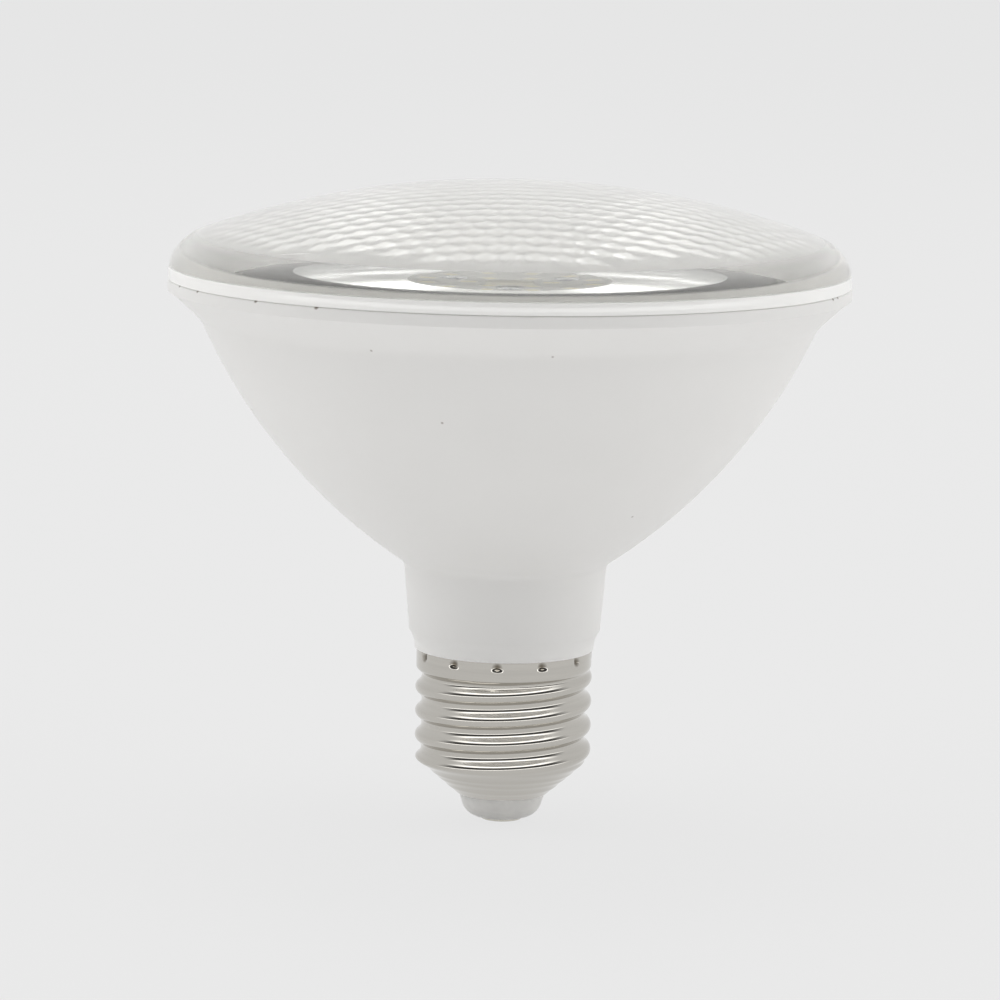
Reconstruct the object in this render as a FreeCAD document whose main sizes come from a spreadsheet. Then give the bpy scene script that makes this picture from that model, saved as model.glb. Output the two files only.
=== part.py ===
import FreeCAD, Part
import math
import os
import Sketcher

# PAR30 spotlight bulb with an E27 screw cap, in millimetres.
# The axis is Z, the lens faces +Z and the tip of the contact pin is at the origin.

SIZES = [
    # Lens
    ("apex_height", 95.0, "tip of the contact pin to the top of the lens"),
    ("rim_radius", 50.0, "outside of the lens and of the housing rim"),
    ("dome_radius", 137.2, "sphere of the lens front"),
    ("shoulder_radius", 6.5, "rounding between the lens front and its side"),
    ("lens_land", 0.3, "straight side of the lens below the shoulder"),
    ("lens_wall", 2.0, "thickness of the dome"),
    ("lens_rim_wall", 4.8, "thick rim of the lens, outside to inside"),
    ("lens_spigot_wall", 1.8, "ring that enters the housing"),
    ("lens_spigot_depth", 2.4, "reach of that ring below the lens rim"),
    # Housing
    ("seam_gap", 0.15, "visible seam between the lens and the housing"),
    ("rim_band", 1.8, "straight band of the housing rim"),
    ("rim_step", 0.35, "small ledge under the band"),
    ("rim_edge_rounding", 0.5, "upper outer edge of the band"),
    ("bevel_run", 4.8, "from the rim inwards to where the bevel meets the bowl"),
    ("bevel_drop", 4.18, "from the band down to there"),
    ("bowl_radius", 82.7, "arc of the bowl's outside, from there to the neck"),
    ("bowl_wall", 1.8, "wall of the bowl"),
    ("neck_height", 12.99, "from the shell up to the bowl"),
    ("neck_top_overhang", 2.0, "neck where it meets the bowl, beyond the skirt of the shell"),
    ("neck_low_overhang", 1.15, "neck above its lower rounding, beyond the skirt"),
    ("neck_foot_overhang", 0.25, "neck where it stands on the shell, beyond the skirt"),
    ("neck_rounding", 5.0, "arc at the foot of the neck"),
    ("neck_rounding_height", 2.85, "height of that arc"),
    ("neck_wall", 1.75, "wall of the neck"),
    ("crease_rounding", 0.8, "fillets of the outside creases"),
    ("board_groove", 0.7, "grooves in the neck that hold the driver board"),
    ("boss_collar", 2.0, "part of the boss that fills the plain skirt of the shell"),
    ("boss_wall", 1.3, "wall of the boss inside the shell"),
    ("boss_height", 12.0, "lower end of the boss above the contact"),
    ("boss_shoulder", 0.8, "seat of the driver board above the shell"),
    ("wire_notch", 5.5, "open notch in the boss for the neutral wire"),
    # Screw cap
    ("thread_radius", 13.1, "crests of the rolled thread"),
    ("thread_depth", 0.95, "from the crests in to the roots"),
    ("thread_pitch", 3.629, "seven turns to the inch"),
    ("crest_drop", 4.2, "upper edge of the shell down to the highest full crest at +X"),
    ("skirt_step", 0.1, "plain skirt inside the crests"),
    ("shell_top", 25.85, "upper edge of the shell"),
    ("shell_end", 4.07, "lower edge of the shell"),
    ("skirt_height", 2.35, "plain skirt above the thread"),
    ("cone_height", 4.83, "cone under the thread"),
    ("cone_step", 0.8, "top of the cone inside the crests"),
    ("cone_end_radius", 6.85, "mouth that holds the insulator"),
    ("shell_wall", 0.3, "sheet of the shell"),
    ("thread_blend", 1.6, "height over which the thread fades in and out"),
    ("punch_side", 1.2, "side of each punch mark"),
    ("punch_depth", 0.16, "depth of each punch mark"),
    ("insulator_lip", 0.45, "shell mouth beyond the insulator"),
    ("insulator_neck", 0.2, "straight part of the insulator under the shell"),
    ("insulator_foot", 3.6, "flat end of the insulator"),
    ("insulator_rounding", 2.6, "rounded lower edge of the insulator"),
    ("insulator_round_height", 1.6, "height of that rounding"),
    ("insulator_draft", 0.6, "taper above the rounding"),
    ("insulator_flange", 3.2, "height of the insulator inside the shell"),
    ("pin_head", 0.45, "contact head proud of the insulator"),
    ("pin_head_radius", 3.2, "head of the contact pin"),
    ("pin_radius", 1.1, "shank of the contact pin"),
    ("pin_length", 7.7, "whole contact pin"),
    # Optic and light source
    ("reflector_wall", 1.1, "wall of the reflector"),
    ("reflector_flange", 0.8, "flange under the lens spigot"),
    ("reflector_collar", 4.0, "mouth of the reflector above its flange, inside the lens rim"),
    ("reflector_lip", 1.05, "inside of the lens rim to the mouth of the reflector"),
    ("reflector_throat", 17.6, "lower opening of the reflector"),
    ("board_seat", 56.0, "height of the heat sink's face"),
    ("sink_disc", 1.5, "face of the heat sink"),
    ("sink_wall", 1.2, "skirt of the heat sink"),
    ("board_radius", 24.0, "light source board"),
    ("board_thickness", 1.5, "light source board"),
    ("outer_ring", 14.6, "radius of the outer ring of diodes"),
    ("inner_ring", 7.0, "radius of the inner ring of diodes"),
    ("chip_length", 3.5, "diode package, along the radius"),
    ("chip_width", 2.8, "diode package, across"),
    ("chip_height", 0.7, "diode package"),
    ("chip_rim", 0.35, "white rim round the phosphor window"),
    ("chip_recess", 0.12, "depth of that window"),
    ("screw_circle", 11.0, "circle of the board screws"),
    ("screw_thread_radius", 1.5, "board screw"),
    ("screw_head_radius", 2.4, "pan head"),
    ("screw_head_height", 1.5, "pan head"),
    ("screw_length", 5.0, "under the head"),
    ("screw_slot", 0.5, "width of the cross recess"),
    ("screw_boss", 2.6, "radius of the threaded bosses"),
    ("screw_boss_height", 2.4, "threaded bosses under the face"),
    ("wire_hole", 2.4, "hole for the two light source wires"),
    ("connector_length", 8.0, "wire connector"),
    ("connector_width", 4.2, "wire connector"),
    ("connector_height", 2.2, "wire connector"),
    # Driver
    ("driver_thickness", 1.6, "driver board"),
    ("driver_gap", 4.0, "upper edge of the driver board under the heat sink's face"),
    ("driver_foot", 11.5, "lower edge of the driver board"),
    ("driver_span", 39.0, "height of the driver board that the heights below are for"),
    ("input_can_radius", 4.0, "input capacitor"),
    ("input_can_height", 11.0, "input capacitor"),
    ("input_can_base", 5.5, "input capacitor above the foot of the board"),
    ("output_can_radius", 4.0, "output capacitor"),
    ("output_can_height", 10.0, "output capacitor"),
    ("output_can_base", 28.5, "output capacitor above the foot of the board"),
    ("can_edge", 0.4, "softened edges of the components"),
    ("lead_radius", 0.3, "tinned leads"),
    ("lead_spacing", 3.5, "pitch of the capacitor leads"),
    ("lead_reach", 1.4, "leads beyond a can"),
    ("film_length", 10.0, "film capacitor"),
    ("film_depth", 5.0, "film capacitor"),
    ("film_height", 9.0, "film capacitor"),
    ("film_base", 17.0, "film capacitor above the foot of the board"),
    ("core_width", 10.4, "transformer core"),
    ("core_height", 11.0, "transformer core"),
    ("core_depth", 5.0, "transformer core"),
    ("core_limb", 1.8, "outer limbs and yokes of the core"),
    ("core_base", 22.0, "transformer above the foot of the board"),
    ("bobbin_flange", 0.8, "flanges of the bobbin"),
    ("bobbin_overhang", 1.9, "flanges beyond the core's faces"),
    ("winding_depth", 1.3, "turns of wire beyond the core's faces"),
    ("bridge_side", 4.7, "bridge rectifier"),
    ("bridge_height", 2.5, "bridge rectifier"),
    ("bridge_base", 8.5, "bridge rectifier above the foot of the board"),
    ("driver_chip_length", 4.9, "driver chip"),
    ("driver_chip_width", 3.9, "driver chip"),
    ("driver_chip_height", 1.5, "driver chip"),
    ("driver_chip_base", 29.5, "driver chip above the foot of the board"),
    ("fuse_radius", 1.3, "fusible resistor"),
    ("fuse_length", 6.5, "fusible resistor"),
    ("fuse_base", 6.0, "axis of the fusible resistor above the foot of the board"),
    ("diode_length", 4.3, "output diode"),
    ("diode_width", 2.6, "output diode"),
    ("diode_height", 2.2, "output diode"),
    ("diode_base", 18.3, "output diode above the foot of the board"),
    ("wire_radius", 0.6, "insulated wires"),
    ("wire_spacing", 2.4, "pitch of the light source wires"),
    # Clearances
    ("seat_clearance", 0.05, "between pieces that are seated in each other"),
    ("slip_clearance", 0.15, "between pieces that slide together"),
]
OUTER_CHIPS = 12
INNER_CHIPS = 6
BOARD_SCREWS = 3
PUNCH_MARKS = 12
PUNCH_TURN = -4.3
# Bulge of the reflector's wall as a share of its height, and reach of the heat sink's skirt as a share
# of the height between the bowl's foot and its face
REFLECTOR_BULGE = 0.148
SKIRT_SHARE = 0.7
# Width of a package's pin as a share of the pitch of its pins, reach of a wire's bend along the shorter
# of its two runs, and rounding of the winding's corners as a share of its depth
PIN_SHARE = 0.3
BEND_SHARE = 0.45
WINDING_CORNER = 0.75
# Places nearer than this are one place
TOUCH = 0.01
RING_POINTS = 16
ROWS_PER_PITCH = 7


class Size:
    """A length as a number, with the spreadsheet expression that gives it."""

    def __init__(self, value, text):
        self.value = value
        self.text = text

    def __add__(self, other):
        other = as_size(other)
        return Size(self.value + other.value, f"({self.text} + {other.text})")

    def __sub__(self, other):
        other = as_size(other)
        return Size(self.value - other.value, f"({self.text} - {other.text})")

    def __mul__(self, other):
        other = as_size(other)
        return Size(self.value * other.value, f"({self.text} * {other.text})")

    def __truediv__(self, other):
        other = as_size(other)
        return Size(self.value / other.value, f"({self.text} / {other.text})")

    def __neg__(self):
        return as_size(0) - self


def as_size(number):
    """A plain number as a Size."""
    return number if isinstance(number, Size) else Size(float(number), repr(float(number)))


def leg(slope, other):
    """The third side of a right triangle, from its longest side and another."""
    value = math.sqrt(slope.value ** 2 - other.value ** 2)
    return Size(value, f"sqrt({slope.text} ^ 2 - {other.text} ^ 2)")


def span(across, along):
    """The longest side of a right triangle, from the other two."""
    value = math.hypot(across.value, along.value)
    return Size(value, f"sqrt({across.text} ^ 2 + {along.text} ^ 2)")


doc = FreeCAD.newDocument("par_spotlight_bulb")
sheet = doc.addObject("Spreadsheet::Sheet", "dims")
size = {}
for row, (alias, number, note) in enumerate(SIZES, start=1):
    sheet.set(f"A{row}", note)
    sheet.set(f"B{row}", str(number))
    sheet.setAlias(f"B{row}", alias)
doc.recompute()
for alias, number, note in SIZES:
    size[alias] = Size(float(sheet.get(alias)), f"dims.{alias}")


def mm(alias):
    """A driving dimension as a plain number."""
    return size[alias].value


# Sketches and solids

def origin_plane(body, role):
    """A body's own origin plane, such as XZ_Plane."""
    for feature in body.Origin.OriginFeatures:
        if feature.Role == role:
            return feature
    raise ValueError(role)


def new_body(label):
    """An empty body whose label names its file."""
    body = doc.addObject("PartDesign::Body", label)
    body.Label = label
    return body


def new_sketch(body, name, role):
    """A sketch on one of the body's origin planes."""
    sketch = body.newObject("Sketcher::SketchObject", name)
    sketch.AttachmentSupport = [(origin_plane(body, role), "")]
    sketch.MapMode = "FlatFace"
    return sketch


def arc_centre(start, end, radius, turn):
    """The centre of a short arc between two corners; turn is 1 anticlockwise, -1 clockwise."""
    chord = end - start
    height = math.sqrt(max(radius ** 2 - (chord.Length / 2) ** 2, 0.0))
    side = FreeCAD.Vector(-chord.y, chord.x, 0).normalize()
    return (start + end) * 0.5 + side * (height * turn)


def add_outline(sketch, corners):
    """A closed outline. A corner is (x, y), or (x, y, radius, turn) where an arc leaves it."""
    points = [FreeCAD.Vector(as_size(c[0]).value, as_size(c[1]).value, 0) for c in corners]
    starts = []
    ends = []
    for i, corner in enumerate(corners):
        begin = points[i]
        finish = points[(i + 1) % len(points)]
        if len(corner) == 2:
            edge = sketch.addGeometry(Part.LineSegment(begin, finish), False)
            starts.append((edge, 1))
            ends.append((edge, 2))
            continue
        radius, turn = corner[2], corner[3]
        centre = arc_centre(begin, finish, radius.value, turn)
        circle = Part.Circle(centre, FreeCAD.Vector(0, 0, 1), radius.value)
        from_angle = math.atan2(begin.y - centre.y, begin.x - centre.x)
        to_angle = math.atan2(finish.y - centre.y, finish.x - centre.x)
        if turn < 0:
            from_angle, to_angle = to_angle, from_angle
        edge = sketch.addGeometry(Part.ArcOfCircle(circle, from_angle, to_angle), False)
        starts.append((edge, 1 if turn > 0 else 2))
        ends.append((edge, 2 if turn > 0 else 1))
        bind(sketch, Sketcher.Constraint("Radius", edge, radius.value), radius)
    for i, corner in enumerate(corners):
        edge, point = starts[i]
        sketch.addConstraint(Sketcher.Constraint("Coincident", ends[i - 1][0], ends[i - 1][1], edge, point))
        x, y = as_size(corner[0]), as_size(corner[1])
        bind(sketch, Sketcher.Constraint("DistanceX", -1, 1, edge, point, x.value), x)
        bind(sketch, Sketcher.Constraint("DistanceY", -1, 1, edge, point, y.value), y)


def bind(sketch, constraint, length):
    """Add a constraint and tie it to the sheet."""
    number = sketch.addConstraint(constraint)
    sketch.setExpression(f"Constraints[{number}]", length.text)


def add_circle(sketch, x, y, radius):
    """A circle, tied to the sheet."""
    x, y, radius = as_size(x), as_size(y), as_size(radius)
    centre = FreeCAD.Vector(x.value, y.value, 0)
    edge = sketch.addGeometry(Part.Circle(centre, FreeCAD.Vector(0, 0, 1), radius.value), False)
    bind(sketch, Sketcher.Constraint("Radius", edge, radius.value), radius)
    bind(sketch, Sketcher.Constraint("DistanceX", -1, 1, edge, 3, x.value), x)
    bind(sketch, Sketcher.Constraint("DistanceY", -1, 1, edge, 3, y.value), y)


def turned(label, corners):
    """A body made by turning a half section (radius, height) about Z."""
    body = new_body(label)
    sketch = new_sketch(body, f"{label}_section", "XZ_Plane")
    add_outline(sketch, corners)
    turn = body.newObject("PartDesign::Revolution", f"{label}_turn")
    turn.Profile = sketch
    turn.ReferenceAxis = (sketch, ["V_Axis"])
    turn.Angle = 360
    sketch.Visibility = False
    doc.recompute()
    return body


def raised(body, kind, name, draw, start, height):
    """A pad or a pocket from a level up, with its sketch drawn by a function."""
    sketch = new_sketch(body, f"{name}_sketch", "XY_Plane")
    sketch.setExpression("AttachmentOffset.Base.z", as_size(start).text)
    draw(sketch)
    feature = body.newObject(f"PartDesign::{kind}", name)
    feature.Profile = sketch
    feature.setExpression("Length", as_size(height).text)
    feature.Reversed = kind == "Pocket"
    sketch.Visibility = False
    doc.recompute()
    return feature


def patterned(body, features, copies, name):
    """Equally spaced copies of features about Z."""
    pattern = body.newObject("PartDesign::PolarPattern", name)
    pattern.Originals = features
    for feature in body.Origin.OriginFeatures:
        if feature.Role == "Z_Axis":
            pattern.Axis = (feature, [""])
    pattern.Angle = 360
    pattern.Occurrences = copies
    body.Tip = pattern
    doc.recompute()


def rounded_rings(body, name, rings, radius):
    """Fillets on the circular edges at the given (radius, height) places."""
    names = []
    for i, edge in enumerate(body.Shape.Edges, start=1):
        if not isinstance(edge.Curve, Part.Circle):
            continue
        for ring_radius, height in rings:
            near = abs(edge.Curve.Radius - ring_radius.value) < TOUCH
            if near and abs(edge.Curve.Center.z - height.value) < TOUCH:
                names.append(f"Edge{i}")
    base = body.Tip
    fillet = body.newObject("PartDesign::Fillet", name)
    fillet.Base = (base, names)
    fillet.setExpression("Radius", radius.text)
    doc.recompute()


def solid(kind, name, place, turn=None, **lengths):
    """A Part primitive whose lengths and place are tied to the sheet."""
    thing = doc.addObject(f"Part::{kind}", name)
    if turn is not None:
        thing.Placement = FreeCAD.Placement(FreeCAD.Vector(), turn)
    for length_name, length in lengths.items():
        thing.setExpression(length_name, as_size(length).text)
    put(thing, place)
    return thing


def put(thing, place):
    """Tie the place of an object to the sheet."""
    for axis, where in zip("xyz", place):
        thing.setExpression(f"Placement.Base.{axis}", as_size(where).text)


def block(name, centre_x, side_y, base_z, along_x, along_y, along_z):
    """A box centred on X, from one side in Y and one level in Z."""
    corner_x = as_size(centre_x) - as_size(along_x) / 2
    return solid("Box", name, (corner_x, side_y, base_z), Length=along_x, Width=along_y, Height=along_z)


def joined(label, things):
    """One solid from several."""
    fuse = doc.addObject("Part::MultiFuse", label)
    fuse.Label = label
    fuse.Shapes = things
    fuse.Refine = True
    return fuse


def carved(label, base, tool):
    """One solid less another."""
    cut = doc.addObject("Part::Cut", label)
    cut.Label = label
    cut.Base = base
    cut.Tool = tool
    return cut


def softened(kind, label, base, reach, chosen):
    """A fillet or a chamfer on the edges that a test picks."""
    doc.recompute()
    dressed = doc.addObject(f"Part::{kind}", label)
    dressed.Label = label
    dressed.Base = base
    dressed.Edges = [(i, reach, reach) for i, edge in enumerate(base.Shape.Edges, start=1) if chosen(edge)]
    return dressed


def is_ring(edge):
    """True for a circular edge."""
    return isinstance(edge.Curve, Part.Circle)


def is_upright(edge):
    """True for a straight edge along Z."""
    return abs(edge.Vertexes[0].Z - edge.Vertexes[-1].Z) > edge.Length * 0.99


def shaped(label, shape):
    """An object with a shape made in this file."""
    thing = doc.addObject("Part::Feature", label)
    thing.Label = label
    thing.Shape = shape
    return thing


def routed(points, radius):
    """A round wire through points, its bends as large as the runs beside them allow."""
    points = [FreeCAD.Vector(*p) for p in points]
    edges = []
    reached = points[0]
    for before, corner, after in zip(points, points[1:], points[2:]):
        back = (before - corner).normalize()
        ahead = (after - corner).normalize()
        trim = BEND_SHARE * min(before.distanceToPoint(corner), after.distanceToPoint(corner))
        half_turn = (math.pi - back.getAngle(ahead)) / 2
        bend = trim / math.tan(half_turn)
        inward = (back + ahead).normalize()
        middle = corner + inward * (bend / math.cos(half_turn) - bend)
        begin = corner + back * trim
        finish = corner + ahead * trim
        edges.append(Part.LineSegment(reached, begin).toShape())
        edges.append(Part.Arc(begin, middle, finish).toShape())
        reached = finish
    edges.append(Part.LineSegment(reached, points[-1]).toShape())
    path = Part.Wire(edges)
    start = Part.Circle(points[0], points[1] - points[0], radius).toShape()
    return path.makePipeShell([Part.Wire([start])], True, False)


# Heights and radii that several pieces share

dome_centre = size["apex_height"] - size["dome_radius"]
shoulder_centre_radius = size["rim_radius"] - size["shoulder_radius"]
shoulder_sphere = size["dome_radius"] - size["shoulder_radius"]
shoulder_height = dome_centre + leg(shoulder_sphere, shoulder_centre_radius)
dome_edge_radius = shoulder_centre_radius * size["dome_radius"] / shoulder_sphere
dome_edge_height = dome_centre + leg(size["dome_radius"], dome_edge_radius)
lens_base = shoulder_height - size["lens_land"]
underside = size["dome_radius"] - size["lens_wall"]
aperture = size["rim_radius"] - size["lens_rim_wall"]
spigot_end = lens_base - size["lens_spigot_depth"]
spigot_radius = aperture + size["lens_spigot_wall"]
rim_top = lens_base - size["seam_gap"]
reflector_top = spigot_end - size["seat_clearance"]
ledge_height = reflector_top - size["reflector_flange"] - size["seat_clearance"]
rim_bore = spigot_radius + size["slip_clearance"]
band_foot = rim_top - size["rim_band"]
bevel_top_radius = size["rim_radius"] - size["rim_step"]

skirt_radius = size["thread_radius"] - size["skirt_step"]
root_radius = size["thread_radius"] - size["thread_depth"]
shell_inside = root_radius - size["shell_wall"]
boss_radius = shell_inside - size["slip_clearance"]
boss_bore = boss_radius - size["boss_wall"]
collar_radius = skirt_radius - size["shell_wall"] - size["seat_clearance"]
neck_foot = size["shell_top"] + size["seat_clearance"]
neck_low_radius = skirt_radius + size["neck_low_overhang"]
neck_bore = neck_low_radius - size["neck_wall"]
board_shoulder = neck_foot + size["boss_shoulder"]

# The bowl's arc runs from the crease at the neck up to the corner under the bevel
crease_radius = skirt_radius + size["neck_top_overhang"]
crease_height = size["shell_top"] + size["neck_height"]
corner_radius = size["rim_radius"] - size["bevel_run"]
corner_height = band_foot - size["bevel_drop"]
bowl_run = corner_radius - crease_radius
bowl_rise = corner_height - crease_height
bowl_chord = span(bowl_run, bowl_rise)
centre_share = leg(size["bowl_radius"], bowl_chord / 2) / bowl_chord
bowl_centre_radius = (crease_radius + corner_radius) / 2 - bowl_rise * centre_share
bowl_centre_height = (crease_height + corner_height) / 2 + bowl_run * centre_share


def bowl_height(arc, radius):
    """The height of a bowl arc at a radius."""
    return bowl_centre_height - leg(arc, radius - bowl_centre_radius)


def bowl_reach(arc, height):
    """The radius of a bowl arc at a height."""
    return leg(arc, bowl_centre_height - height) + bowl_centre_radius


bowl_inside = size["bowl_radius"] - size["bowl_wall"]
sink_outside = bowl_inside - size["slip_clearance"]
sink_inside = sink_outside - size["sink_wall"]
sink_face_foot = size["board_seat"] - size["sink_disc"]
led_board_top = size["board_seat"] + size["board_thickness"]
driver_top = sink_face_foot - size["driver_gap"]
driver_half = size["driver_thickness"] / 2
driver_stretch = (driver_top - size["driver_foot"]) / size["driver_span"]


def driver_level(alias):
    """A height on the driver board."""
    return size["driver_foot"] + size[alias] * driver_stretch


def driver_height(alias):
    """The height of a component on the driver board."""
    return size[alias] * driver_stretch


# Lens: a clear dome with a thick rim and a ring that enters the housing

def make_lens():
    underside_edge = dome_centre + leg(underside, aperture)
    turned("cover_lens", [
        (0, size["apex_height"] - size["lens_wall"]),
        (0, size["apex_height"], size["dome_radius"], -1),
        (dome_edge_radius, dome_edge_height, size["shoulder_radius"], -1),
        (size["rim_radius"], shoulder_height),
        (size["rim_radius"], lens_base),
        (spigot_radius, lens_base),
        (spigot_radius, spigot_end),
        (aperture, spigot_end),
        (aperture, underside_edge, underside, 1),
    ])


# Reflector: a metallised bowl with a collar inside the lens rim and a flange held down by the lens

def make_reflector():
    foot = led_board_top + size["seat_clearance"]
    wall = size["reflector_wall"]
    throat = size["reflector_throat"]
    mouth = aperture - size["reflector_lip"]
    mouth_height = reflector_top + size["reflector_collar"]
    flange_radius = rim_bore - size["slip_clearance"]
    flange_foot = reflector_top - size["reflector_flange"]
    run = mouth - throat
    rise = mouth_height - foot
    half_chord = span(run, rise) / 2
    bulge = rise * REFLECTOR_BULGE
    arc = (half_chord * half_chord / bulge + bulge) / 2
    centre_share = leg(arc, half_chord) / half_chord / 2
    centre_radius = (throat + mouth) / 2 - rise * centre_share
    centre_height = (foot + mouth_height) / 2 + run * centre_share
    outside = arc + wall
    turned("reflector", [
        (throat, foot, arc, 1),
        (mouth, mouth_height),
        (aperture - size["slip_clearance"], mouth_height),
        (centre_radius + leg(outside, centre_height - reflector_top), reflector_top),
        (flange_radius, reflector_top),
        (flange_radius, flange_foot),
        (centre_radius + leg(outside, centre_height - flange_foot), flange_foot, outside, -1),
        (throat + wall, foot),
    ])


# Housing: one white moulding with the rim, the bowl, the neck and the boss for the shell

def make_housing():
    neck_rounding_top = neck_foot + size["neck_rounding_height"]
    inner_corner = bowl_height(bowl_inside, neck_bore)
    collar_foot = neck_foot - size["boss_collar"]
    body = turned("housing", [
        (rim_bore, rim_top),
        (rim_bore, ledge_height),
        (bowl_reach(bowl_inside, ledge_height), ledge_height, bowl_inside, -1),
        (neck_bore, inner_corner),
        (neck_bore, board_shoulder),
        (boss_bore, board_shoulder),
        (boss_bore, size["boss_height"]),
        (boss_radius, size["boss_height"]),
        (boss_radius, collar_foot),
        (collar_radius, collar_foot),
        (collar_radius, neck_foot),
        (skirt_radius + size["neck_foot_overhang"], neck_foot, size["neck_rounding"], -1),
        (neck_low_radius, neck_rounding_top),
        (crease_radius, crease_height, size["bowl_radius"], 1),
        (corner_radius, corner_height),
        (bevel_top_radius, band_foot),
        (size["rim_radius"], band_foot),
        (size["rim_radius"], rim_top),
    ])
    rounded_rings(body, "housing_creases", [
        (crease_radius, crease_height),
        (corner_radius, corner_height),
    ], size["crease_rounding"])
    rounded_rings(body, "housing_edge", [(size["rim_radius"], rim_top)], size["rim_edge_rounding"])

    # Two grooves in the neck take the edges of the driver board
    groove_reach = neck_bore + size["board_groove"]
    groove_width = size["driver_thickness"] + size["slip_clearance"] * 2

    def draw_grooves(sketch):
        half = groove_width / 2
        add_outline(sketch, [
            (-groove_reach, -half),
            (groove_reach, -half),
            (groove_reach, half),
            (-groove_reach, half),
        ])
    groove_top = bowl_height(bowl_inside, groove_reach)
    raised(body, "Pocket", "board_grooves", draw_grooves, board_shoulder, groove_top - board_shoulder)

    # An open notch in the foot of the boss lets the neutral wire reach the shell
    def draw_notch(sketch):
        half = size["wire_radius"] + size["slip_clearance"]
        add_outline(sketch, [
            (-half, 0),
            (half, 0),
            (half, collar_radius),
            (-half, collar_radius),
        ])
    raised(body, "Pocket", "wire_notch", draw_notch, size["boss_height"], size["wire_notch"])


# Screw shell: sheet with a rolled thread of the true pitch, a cone and punch marks

cone_slope = (size["thread_radius"] - size["cone_step"] - size["cone_end_radius"]) / size["cone_height"]


def thread_outside(height, turn):
    """The radius of the sheet's outside at a height, for a share of a turn from +X."""
    pitch = mm("thread_pitch")
    depth = mm("thread_depth")
    wave_arc = (depth ** 2 + (pitch / 2) ** 2) / (4 * depth)
    above_crest = (height - mm("shell_top") + mm("crest_drop") - pitch * turn) % pitch
    from_crest = min(above_crest, pitch - above_crest)
    if from_crest <= pitch / 4:
        wave = mm("thread_radius") - wave_arc + math.sqrt(wave_arc ** 2 - from_crest ** 2)
    else:
        wave = root_radius.value + wave_arc - math.sqrt(wave_arc ** 2 - (pitch / 2 - from_crest) ** 2)
    skirt_foot = mm("shell_top") - mm("skirt_height")
    wave = mix(wave, skirt_radius.value, height, skirt_foot - mm("thread_blend"), skirt_foot)
    cone = mm("cone_end_radius") + (height - mm("shell_end")) * cone_slope.value
    cone_top = mm("shell_end") + mm("cone_height")
    return mix(cone, wave, height, cone_top - mm("thread_blend") / 2, cone_top + mm("thread_blend") / 2)


def mix(low, high, height, start, end):
    """A smooth change from one value to another between two heights."""
    share = min(max((height - start) / (end - start), 0.0), 1.0)
    share = share * share * (3 - 2 * share)
    return low + (high - low) * share


def smoothed(rows):
    """Surface values at the knots of a cubic patch: closed along a row, free at its first and last rows."""
    along = []
    for row in rows:
        following = row[1:] + row[:1]
        along.append([(a + b * 6 + c) * (1 / 8) for a, b, c in zip([row[-1]] + row, row, following)])
    values = [along[0], along[1]]
    for below, row, above in zip(along[1:], along[2:-2], along[3:]):
        values.append([(a + b * 6 + c) * (1 / 8) for a, b, c in zip(below, row, above)])
    return values + [along[-2], along[-1]]


def rolled_face(inset):
    """A smooth face through the rolled sheet's outside, moved inwards by an inset."""
    low, high = mm("shell_end"), mm("shell_top")
    spans = round((high - low) / mm("thread_pitch") * ROWS_PER_PITCH)
    step = (high - low) / spans
    heights = [low] + [low + step * (i + 0.5) for i in range(spans)] + [high]
    wanted = []
    for height in heights:
        row = []
        for point in range(RING_POINTS):
            turn = point / RING_POINTS
            radius = thread_outside(height, turn) - inset
            angle = 2 * math.pi * turn
            row.append(FreeCAD.Vector(radius * math.cos(angle), radius * math.sin(angle), height))
        wanted.append(row)
    poles = wanted
    for _ in range(6):
        reached = smoothed(poles)
        poles = [[p + w - r for p, w, r in zip(*rows)] for rows in zip(poles, wanted, reached)]
    columns = [list(column) for column in zip(*poles)]
    surface = Part.BSplineSurface()
    surface.buildFromPolesMultsKnots(
        columns,
        [1] * (RING_POINTS + 1),
        [3] + [1] * (spans - 1) + [3],
        [i / RING_POINTS for i in range(RING_POINTS + 1)],
        [i / spans for i in range(spans + 1)],
        True, False, 2, 2,
    )
    return surface.toShape()


def edge_at(face, height):
    """The closed edge of a face at a height."""
    for edge in face.Edges:
        if abs(edge.BoundBox.ZMin - height) < TOUCH and abs(edge.BoundBox.ZMax - height) < TOUCH:
            return edge
    raise ValueError(height)


def rolled_sheet():
    """The rolled sheet as a solid: two threaded faces and a flat edge at each end."""
    outside = rolled_face(0.0)
    inside = rolled_face(mm("shell_wall"))
    faces = [outside, inside]
    for height in (mm("shell_end"), mm("shell_top")):
        rings = [Part.Wire([edge_at(face, height)]) for face in (outside, inside)]
        faces.append(Part.makeFace(rings, "Part::FaceMakerBullseye"))
    shell = Part.makeShell(faces)
    shell.sewShape()
    metal = Part.Solid(shell)
    if metal.Volume < 0:
        metal.reverse()
    return metal


def make_shell():
    sheet_metal = rolled_sheet()
    marks = []
    side = mm("punch_side")
    corner = FreeCAD.Vector(-side / 2, -skirt_radius.value - mm("punch_depth"), mm("shell_top") - side)
    for mark in range(PUNCH_MARKS):
        box = Part.makeBox(side, mm("punch_depth") * 2, side)
        box.translate(corner)
        box.rotate(FreeCAD.Vector(), FreeCAD.Vector(0, 0, 1), PUNCH_TURN + mark * 360 / PUNCH_MARKS)
        marks.append(box)
    shaped("screw_shell", sheet_metal.cut(Part.makeCompound(marks)))


# Insulator and contact pin at the foot of the cap

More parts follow.
